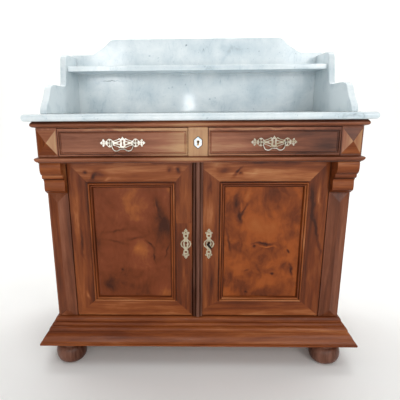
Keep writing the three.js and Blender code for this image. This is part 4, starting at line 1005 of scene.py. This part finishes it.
class WASHSTAND_OT_pulls(bpy.types.Operator):
    """Casts the pierced pull plates and bends their bails"""
    bl_idname = "washstand.pulls"
    bl_label = "Drawer pulls"
    # Right half of the plate's edge above and below its middle, in mm, without the rosette and the tip
    upper = (
        (0, 18), (1.5, 15.4), (4.4, 12.6), (6.8, 10.6), (7.4, 12.4), (9.2, 13.4), (11.4, 12.2), (14, 10.4),
        (20, 8), (26.5, 6.2))
    lower = (
        (26.5, -7), (20, -9), (14, -11.4), (11.4, -13.2), (9.2, -14.4), (7.4, -13.2), (5.8, -13.4),
        (3, -14.4), (0, -14.6))
    tip = (
        (48.4, 5.4), (51, 5.2), (53.4, 7.4), (54.6, 10), (56.8, 10.8), (58.8, 8.6), (58.6, 6), (61.6, 4.2),
        (64.2, 2), (66.3, 0))
    keyhole = (
        (0, 8.6), (2.4, 7.4), (2.9, 5.2), (1.7, 2.8), (1.6, 0), (2.6, -7.8), (-2.6, -7.8), (-1.6, 0),
        (-1.7, 2.8), (-2.9, 5.2), (-2.4, 7.4))
    # Holes of the right half: slots between the rays first, then the small oval ones, x, z and both radii
    slots = (
        ((8.6, 10.2), (14, 8), (24.6, 4.6), (24.6, 2.3), (14, 4.3), (8.6, 6)),
        ((8, 3.4), (16, 0), (8, -3.6), (7.6, 0)),
        ((8.6, -11.2), (14, -9.2), (24.6, -5.6), (24.6, -3.1), (14, -5.1), (8.6, -6.8)))
    ovals = (
        (34.1, 5.2, 2.5, 3.2), (41.9, 5.2, 2.5, 3.2), (34.1, -5.2, 2.5, 3.2), (41.9, -5.2, 2.5, 3.2),
        (51.4, 2.9, 2.4, 1.5), (51.4, -2.9, 2.4, 1.5), (57.8, 2.8, 2.2, 1.5), (57.8, -2.8, 2.2, 1.5))
    # Right half of the bail, in mm from its axis, with the wire's thickness share, then its beads
    bail_route = (
        (31, 0, 0.9), (31.2, -4, 1), (30.4, -11, 1.1), (27, -18, 1.1), (21, -22.2, 1.25), (14.5, -22, 1.3),
        (9.6, -19.4, 1.0), (6, -17.6, 0.9), (0, -17.2, 1.0))
    bail_beads = ((0, 2.6), (-4.4, 1.9), (4.4, 1.9), (-7.4, 1.7), (7.4, 1.7))
    bead_half, bead_drop, knuckle = 1.7 * MM, 17.3 * MM, 2.0 * MM
    pin_route, pin = (31, 33, 36, 38), 1.3 * MM
    # Radii of the rosette's edge, its place and its nail's radii, then the plate and the gap behind it
    ring, rosette, nail = (9.4, 12), 38.0, (3.9 * MM, 1.6 * MM, 3.9 * MM)
    thick, gap = 1.8 * MM, 0.3 * MM
    # The post in front of each rosette: radius and height in mm
    post = ((0, 0), (3.0, 0), (2.6, 3), (3.2, 5), (4, 6.4), (3.6, 8.4), (2, 9), (0, 9.1))
    metals = {"left": "Nickel plate", "right": "Dulled nickel plate"}

    def execute(self, context):
        sizes = context.scene.washstand_sizes
        for name, _ in SIDES:
            self.plate(name, sizes.plate_rim)
            self.bail(name, sizes.bail_wire)
        return {"FINISHED"}

    def outlines(self):
        """The edge of the plate, its keyhole, its slots and its oval holes"""
        ring = arc(self.rosette, 0, *self.ring, 145, 38, 8)
        below = [(u, -v) for u, v in reversed((*ring, *self.tip[:-1]))]
        holes = [list(self.keyhole)]
        for side in (-1, 1):
            holes += [[(side * u, v) for u, v in slot] for slot in self.slots]
            holes += [arc(side * u, v, wide, high, 0, 300, 5) for u, v, wide, high in self.ovals]
        return [mirrored([*self.upper, *ring, *self.tip, *below, *self.lower]), *holes]

    def plate(self, name, rim):
        node = f"pull_plate_{name}"
        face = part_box(f"drawer_front_{name}")[0].y + WASHSTAND_OT_drawers.field
        middle = middle_of(node)
        centre = Vector((middle.x, face - self.gap - self.thick / 2, middle.z))
        bm = pierced(self.outlines(), self.thick, rim, centre)
        for side in (-1, 1):
            place = Vector((centre.x + side * self.rosette * MM, centre.y - self.thick / 2, middle.z))
            add_bead(bm, place, self.nail)
            post = turned([(radius * MM, height * MM) for radius, height in self.post], Vector(), 20)
            post.transform(Matrix.Translation(place) @ Matrix.Rotation(math.pi / 2, 4, "X"))
            add_mesh(bm, post)
        stand_for(new_object(f"{node}.cast", bm), self.metals[name], node)

    def bail(self, name, radius):
        node = f"bail_{name}"
        pull = next(j for j in frame["joints"] if j["name"] == f"bail_{name}_swing")
        centre = Vector(pull["pos_m"])
        full = [*self.bail_route, *[(-u, v, share) for u, v, share in reversed(self.bail_route[:-1])]]
        route = [(centre.x + u * MM, centre.y, centre.z + v * MM, share) for u, v, share in full]
        bm = wire(node, route, radius)
        for u, size in self.bail_beads:
            place = centre + Vector((u * MM, 0, -self.bead_drop))
            add_bead(bm, place, (self.bead_half, size * MM, size * MM))
        for side in (-1, 1):
            add_bead(bm, centre + Vector((side * self.pin_route[0] * MM, 0, 0)), [self.knuckle] * 3)
            ends = [(centre.x + side * u * MM, centre.y, centre.z, 1) for u in self.pin_route]
            add_mesh(bm, wire("pin", ends, self.pin))
        stand_for(new_object(f"{node}.bent", bm), "Nickel plate", node)


class WASHSTAND_OT_locks(bpy.types.Operator):
    """Sets the centre key plate, the locks, the bolts and the pivots"""
    bl_idname = "washstand.locks"
    bl_label = "Locks and pivots"
    irons = ("drawer_lock_case", "drawer_lock_latch", "door_lock_case", "door_lock_bolt", "door_edge_bolt")
    # Level of the key plate's side corners and places of the points along each edge, then its keyhole in mm
    corner_share = 0.44
    edge_shares = (0.04, 0.35, 0.65, 0.96)
    eye_up, eye_radius, lining_share = 2.4, 4.2, 0.78
    eye_foot = ((-2.2, -3), (-3, -8), (3, -8), (2.2, -3))
    # How far the shell and the rim reach in, in mm, and the thickness and the rounding of each layer
    shell_inset, rim_inset = 1.9, 2
    shell, rim, lining = (1.5 * MM, 0.4 * MM), (1.3 * MM, 0.2 * MM), (1.8 * MM, 0.2 * MM)

    def execute(self, context):
        arris = context.scene.washstand_sizes.metal_arris
        self.key_plate()
        for node in self.irons:
            softened(node, "Blackened iron", arris, sharper=50)
        for node in (f"hinge_{end}_{name}" for end in ("top", "bottom") for name, _ in SIDES):
            softened(node, "Brass", arris, sharper=50)
        return {"FINISHED"}

    def key_plate(self):
        """A shell hexagon in a dark rim, with a brass lining round its keyhole"""
        node = "key_plate_centre"
        low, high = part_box(node)
        wide, tall = (high.x - low.x) / 2 / MM, (high.z - low.z) / 2 / MM
        centre = middle_of(node)

        def hexagon(inwards):
            w, t = wide - inwards, tall - inwards
            s = self.corner_share * t
            corners = [(0, t), (w, s), (w, -s), (0, -t), (-w, -s), (-w, s)]
            return [
                (u0 + (u1 - u0) * i, v0 + (v1 - v0) * i)
                for (u0, v0), (u1, v1) in zip(corners, corners[1:] + corners[:1]) for i in self.edge_shares]
        up, share = self.eye_up, self.lining_share
        eye = [*arc(0, up, self.eye_radius, self.eye_radius, -56, 236, 9), *self.eye_foot]
        small = [(share * u, up + share * (v - up)) for u, v in eye]
        shell = pierced([hexagon(self.shell_inset), eye], *self.shell, centre)
        stand_for(new_object(f"{node}.shell", shell), "Mother of pearl", node)
        rim = pierced([hexagon(0), hexagon(self.rim_inset)], *self.rim, centre)
        dress(new_object(f"{node}.rim", rim), "Blackened iron", node)
        lining = pierced([eye, small], *self.lining, centre)
        dress(new_object(f"{node}.lining", lining), "Brass", node)


class WASHSTAND_OT_doors(bpy.types.Operator):
    """Frames both doors, with their panels, mouldings and the strike strip"""
    bl_idname = "washstand.doors"
    bl_label = "Doors"
    # Tones of the outer stile, the inner stile, the top rail and the bottom rail. The top rails are lighter
    # than the bottom rails, partly by their boards' own tone and partly by painted light from above
    tones = {"left": (-0.12, 0.0, 0.08, 0.02), "right": (-0.06, 0.0, 0.22, -0.04)}
    # The left door's inner stile is pieced at this height, and darker below it
    joint, pieced_tone = 490 * MM, -0.08
    # The panel moulding: a quirk, a large bead and a small one, as shares of its width
    moulding_shares = {"quirk": 0.14, "bead": 0.17, "inner": 0.15, "inner_middle": 0.7}
    wide, rise, inner_rise, sunk = 17.5 * MM, 8 * MM, 5 * MM, 4 * MM
    seam, groove = 0.3 * MM, 0.6 * MM
    # Painted shade darkens its depths, and painted light lightens its lower run, which looks up, and its top
    # run a little
    depth_tone, top_share = 0.3, 0.9
    lower_tone, upper_tone = 0.24, 0.05
    # The strip: the level of its reeds' middles, and the level at which its painted shade is 0, as shares of
    # its rise. Faces further back get painted shade, faces further forward painted light
    reed_share, plain_share, strip_tone = 0.385, 0.74, 0.5

    def execute(self, context):
        arris = context.scene.washstand_sizes.arris
        for name, side in SIDES:
            self.frame(name, side, arris)
            softened(f"door_panel_{name}", f"Crotch walnut {name}", arris / 2, board("z"))
            self.moulding(name)
        self.strip()
        return {"FINISHED"}

    def frame(self, name, side, arris):
        """Veneered stiles and rails, mitred from the corners of the panel to those of the door"""
        node = f"door_frame_{name}"
        low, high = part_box(node)
        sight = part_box(f"door_moulding_{name}")
        bm = soften(copied(node), arris)
        for right, up in itertools.product((0, 1), repeat=2):
            inner = Vector((sight[right].x, 0, sight[up].z))
            outer = Vector(((low, high)[right].x, 0, (low, high)[up].z))
            cut(bm, inner, (outer - inner).cross(Vector((0, 1, 0))).normalized())
        cut(bm, (0, 0, self.joint), (0, 0, 1))
        numbers = [next(BOARDS) for _ in range(5)]
        outer_stile, inner_stile, top, bottom = self.tones[name]

        def rule(face):
            middle = face.center
            right = middle.x > (sight[0].x + sight[1].x) / 2
            is_top = middle.z > (sight[0].z + sight[1].z) / 2
            across = (middle.x - sight[1].x) / (high.x - sight[1].x) if right else (
                (sight[0].x - middle.x) / (sight[0].x - low.x))
            up = (middle.z - sight[1].z) / (high.z - sight[1].z) if is_top else (
                (sight[0].z - middle.z) / (sight[0].z - low.z))
            if up > across:
                return "x", numbers[0 if is_top else 1], top if is_top else bottom
            if right == (side > 0):
                return "z", numbers[2], outer_stile
            if side < 0 and middle.z < self.joint:
                return "z", numbers[4], inner_stile + self.pieced_tone
            return "z", numbers[3], inner_stile
        stand_for(new_object(f"{node}.veneered", bm), "Walnut door frames", node, rule=rule)

    def moulding(self, name):
        node = f"door_moulding_{name}"
        low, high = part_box(node)
        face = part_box(f"door_frame_{name}")[0].y
        quirk, bead, small, middle = (value * self.wide for value in self.moulding_shares.values())
        outer = quirk + bead
        profile = [
            (0, -self.sunk), (0, self.seam), (quirk, self.seam),
            *arc(outer, self.rise / 2, bead, self.rise / 2, 170, 10, 12),
            (outer + bead + self.groove, self.rise / 5),
            *arc(middle, self.inner_rise / 2, small, self.inner_rise / 2, 170, 10, 10),
            (middle + small + self.groove, self.seam), (self.wide, -self.sunk / 2), (self.wide, -self.sunk)]
        centre = Vector((middle_of(node).x, face, middle_of(node).z))
        bm = framed(profile, centre, high.x - low.x, high.z - low.z)
        numbers = [next(BOARDS) for _ in range(4)]
        size = high - low

        def rule(face):
            middle = face.center
            across = abs(middle.x - centre.x) - size.x / 2
            up = abs(middle.z - centre.z) - size.z / 2
            shade = self.depth_tone * ((centre.y - middle.y) / self.rise - self.top_share)
            if up <= across:
                return "z", numbers[2 if middle.x > centre.x else 3], shade
            shade += self.upper_tone * min(1, (middle.z - low.z) / size.z)
            if middle.z > centre.z:
                return "x", numbers[0], shade
            return "x", numbers[1], shade + self.lower_tone
        stand_for(new_object(f"{node}.run", bm), "Walnut door frames", node, rule=rule, smooth=50)

    def strip(self):
        """A round middle between two reeds, in plan"""
        low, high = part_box("strike_strip")
        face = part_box("door_frame_right")[0].y
        wide, rise = high.x - low.x, face - low.y
        x = (low.x + high.x) / 2
        reed, level = wide / 8, face - self.reed_share * rise
        points = [
            (low.x, face), (low.x, face - rise / 4),
            *arc(low.x + reed, level, reed, reed, 200, 335, 8),
            *arc(x, face - rise / 3, wide / 2 - 2 * reed, 2 * rise / 3, 188, 352, 20),
            *arc(high.x - reed, level, reed, reed, 205, 340, 8),
            (high.x, face - rise / 4), (high.x, face)]
        rings = [[(u, v, z) for u, v in points] for z in (low.z, high.z)]
        number = next(BOARDS)

        def rule(side):
            return "z", number, self.strip_tone * ((face - side.center.y) / rise - self.plain_share)
        obj = new_object("strike_strip.reeded", skin(rings))
        stand_for(obj, "Stained walnut", "strike_strip", rule=rule, smooth=50)


class WASHSTAND_OT_escutcheons(bpy.types.Operator):
    """Casts the key plates of the doors"""
    bl_idname = "washstand.escutcheons"
    bl_label = "Door key plates"
    # Right half of the plate's upper edge, in mm from its middle, then the window in it
    head = (
        (0, 51), (2, 49.4), (2.2, 47.2), (4.2, 46.4), (5.6, 44.4), (4.4, 42), (6.6, 40.4), (9.6, 40.2),
        (11.6, 37), (9.8, 34.4), (8, 32.6), (8.2, 28), (7.6, 23), (5.6, 21.4), (5, 18.6), (7.2, 15.2))
    window = (
        (-3.6, 24.6), (0, 24.8), (3.6, 24.6), (3.8, 27.4), (3.6, 30.4), (0, 30.2), (-3.6, 30.4), (-3.8, 27.4))
    # The round middle of the plate in mm: how far it keeps in from the plate's side, its height and its waves
    margin, ring_inset, ring_height = 1.9, 0.6, 15.4
    waves, wave_share = 12, 0.045
    # The keyhole: the level and radius of its eye, and its foot
    eye_up, eye_radius = 3.4, 4.6
    eye_foot = ((-2.2, -3), (-3.4, -8.6), (3.4, -8.6), (2.2, -3))
    # The crescent at each side of it, as radii and angles, then the round holes: place, level and radius
    crescent = ((12.9, 13, 46, -46), (9, 11.2, -42, 42))
    side_hole = (7.2, 37, 1.3)
    middle_holes = ((37.6, 2.2), (44.6, 1.2))

    def execute(self, context):
        for name, _ in SIDES:
            self.plate(name, context.scene.washstand_sizes.plate_rim)
        return {"FINISHED"}

    def plate(self, name, rim):
        node = f"escutcheon_{name}"
        low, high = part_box(node)
        half = (high.x - low.x) / 2 / MM - self.margin
        tall = (high.z - low.z) / 2 / MM / self.head[0][1]
        ring = []
        for u, v in arc(0, 0, half - self.ring_inset, self.ring_height, 52, -52, 20):
            swell = 1 + self.wave_share * math.cos(math.atan2(v, u) * self.waves)
            ring.append((u * swell, v))
        upper = [(u, v * tall) for u, v in self.head]
        edge = mirrored([*upper, *ring, *[(u, -v) for u, v in reversed(upper)]])
        bm = pierced([edge, *self.holes()], high.y - low.y, rim, middle_of(node))
        stand_for(new_object(f"{node}.cast", bm), "Pale brass", node)

    def holes(self):
        """The keyhole, both windows, the crescents and the round holes"""
        eye = [*arc(0, self.eye_up, self.eye_radius, self.eye_radius, -58, 238, 9), *self.eye_foot]
        holes = [eye, list(self.window), [(u, -v) for u, v in self.window]]
        for side in (-1, 1):
            holes.append([(side * u, v) for ends in self.crescent for u, v in arc(0, 0, *ends, 7)])
            for up in (-1, 1):
                u, v, radius = self.side_hole
                holes.append(arc(side * u, up * v, radius, radius, 0, 300, 5))
        for up in (-1, 1):
            for v, radius in self.middle_holes:
                holes.append(arc(0, up * v, radius, radius, 0, 300, 5))
        return holes


class WASHSTAND_OT_key(bpy.types.Operator):
    """Puts the key in the right door"""
    bl_idname = "washstand.key"
    bl_label = "Key"
    arris = 0.2 * MM

    def execute(self, context):
        softened("door_key", "Blackened iron", self.arris, sharper=60)
        return {"FINISHED"}


class WASHSTAND_OT_stage(bpy.types.Operator):
    """Sets the floor, the lamps and the camera"""
    bl_idname = "washstand.stage"
    bl_label = "Floor, light and camera"
    # The floor, in metres: places along its flat, the radius of its sweep, its top and half its width
    flat, bend, top, half = (-7, -4, 0, 2.2), 1.2, 6, 9
    world_colour, world_strength = (0.98, 0.99, 1, 1), 0.3
    # Each lamp: its name, its place, what it aims at, its size, its power in watts and its colour
    panels = (
        ("Ceiling", (0, 0.2, 3.4), (0, 0.4, 0), (4.5, 4), 50, "#FFFFFF"),
        ("Key", (1.6, -2.7, 1.8), (0, 0, 0.8), (1.4, 1.2), 22, "#FFFFFF"),
        ("Wall", (0, -3.6, 0.95), (0, 0, 0.95), (5, 1.7), 54, "#FFFDFC"),
        ("Window", (-0.95, -3.1, 1.33), (-0.3, 0.2, 1.0), (0.38, 0.45), 2.8, "#FFFFFF"),
        ("Gap", (-0.03, -3.0, 0.86), (0, 0.2, 0.86), (0.05, 0.3), 1.9, "#FFFFFF"),
        ("Backdrop", (0, 1.3, 3.6), (0, 3.2, 0.9), (7, 1), 100, "#FFFFFF"))
    # The photograph is 400 pixels wide, and its lens and its centre were solved from the washstand's lines
    picture_px, focal_px, centre_px = 400, 399.84, (179.75, 217.83)
    camera_place = (-0.0256, -1.3978, 0.8383)
    pitch, yaw, roll = 15.073, -1.423, -0.484

    def execute(self, context):
        self.floor()
        self.lamps(context.scene)
        self.camera(context.scene)
        context.scene.view_settings.view_transform = "Standard"
        return {"FINISHED"}

    def floor(self):
        """A flat that sweeps up behind the washstand"""
        end = self.flat[-1]
        sweep = [
            *[(y, 0) for y in self.flat], *arc(end, self.bend, self.bend, self.bend, -90, 0, 16)[1:],
            (end + self.bend, self.top)]
        bm = bmesh.new()
        rows = [[bm.verts.new((x, y, z)) for y, z in sweep] for x in (-self.half, self.half)]
        for i in range(len(sweep) - 1):
            bm.faces.new((rows[0][i], rows[0][i + 1], rows[1][i + 1], rows[1][i]))
        bmesh.ops.recalc_face_normals(bm, faces=bm.faces)
        obj = new_object("floor", bm)
        obj.data.materials.append(bpy.data.materials["Matt floor"])
        obj.data.shade_smooth()

    def lamps(self, scene):
        world = bpy.data.worlds.new("Studio")
        world.use_nodes = True
        background = world.node_tree.nodes["Background"]
        background.inputs["Color"].default_value = self.world_colour
        background.inputs["Strength"].default_value = self.world_strength
        scene.world = world
        for name, place, aim, size, power, shade in self.panels:
            lamp = bpy.data.lights.new(name, "AREA")
            lamp.shape = "RECTANGLE"
            lamp.size, lamp.size_y = size
            lamp.energy = power
            lamp.color = linear(shade)
            obj = bpy.data.objects.new(name, lamp)
            obj.location = place
            obj.rotation_euler = (Vector(aim) - Vector(place)).to_track_quat("-Z", "Y").to_euler()
            scene.collection.objects.link(obj)

    def camera(self, scene):
        pitch, yaw, roll = (math.radians(a) for a in (self.pitch, self.yaw, self.roll))
        ahead = Vector((math.sin(yaw) * math.cos(pitch), math.cos(yaw) * math.cos(pitch), -math.sin(pitch)))
        right = Vector((math.cos(yaw), -math.sin(yaw), 0))
        up = right.cross(ahead)
        level_right, level_up = right.copy(), up.copy()
        right = level_right * math.cos(roll) + level_up * math.sin(roll)
        up = level_up * math.cos(roll) - level_right * math.sin(roll)
        data = bpy.data.cameras.new("Camera")
        data.sensor_width = 36
        data.lens = data.sensor_width * self.focal_px / self.picture_px
        data.shift_x = 0.5 - self.centre_px[0] / self.picture_px
        data.shift_y = self.centre_px[1] / self.picture_px - 0.5
        obj = bpy.data.objects.new("Camera", data)
        turn = Matrix((right, up, -ahead)).transposed().to_4x4()
        obj.matrix_world = Matrix.Translation(self.camera_place) @ turn
        scene.collection.objects.link(obj)
        scene.camera = obj


OPERATORS = (
    WASHSTAND_OT_finishes, WASHSTAND_OT_stage, WASHSTAND_OT_marble, WASHSTAND_OT_case, WASHSTAND_OT_mouldings,
    WASHSTAND_OT_feet, WASHSTAND_OT_front, WASHSTAND_OT_drawers, WASHSTAND_OT_pulls, WASHSTAND_OT_locks,
    WASHSTAND_OT_doors, WASHSTAND_OT_escutcheons, WASHSTAND_OT_key)


class VIEW3D_PT_washstand(bpy.types.Panel):
    """Lists the pieces of the washstand"""
    bl_label = "Washstand"
    bl_space_type = "VIEW_3D"
    bl_region_type = "UI"
    bl_category = "Washstand"

    def draw(self, context):
        for group in (context.scene.washstand_sizes, context.scene.washstand_colours):
            for name in group.bl_rna.properties.keys():
                if name not in ("rna_type", "name"):
                    self.layout.prop(group, name)
        for operator in OPERATORS:
            self.layout.operator(operator.bl_idname)


CLASSES = (WashstandColours, WashstandSizes, *OPERATORS, VIEW3D_PT_washstand)


def register():
    for cls in CLASSES:
        bpy.utils.register_class(cls)
    bpy.types.Scene.washstand_colours = bpy.props.PointerProperty(type=WashstandColours)
    bpy.types.Scene.washstand_sizes = bpy.props.PointerProperty(type=WashstandSizes)


def unregister():
    del bpy.types.Scene.washstand_sizes
    del bpy.types.Scene.washstand_colours
    for cls in reversed(CLASSES):
        bpy.utils.unregister_class(cls)


def main():
    """Makes every piece in order"""
    register()
    for operator in OPERATORS:
        getattr(bpy.ops.washstand, operator.bl_idname.split(".")[1])()


if __name__ == "__main__":
    main()
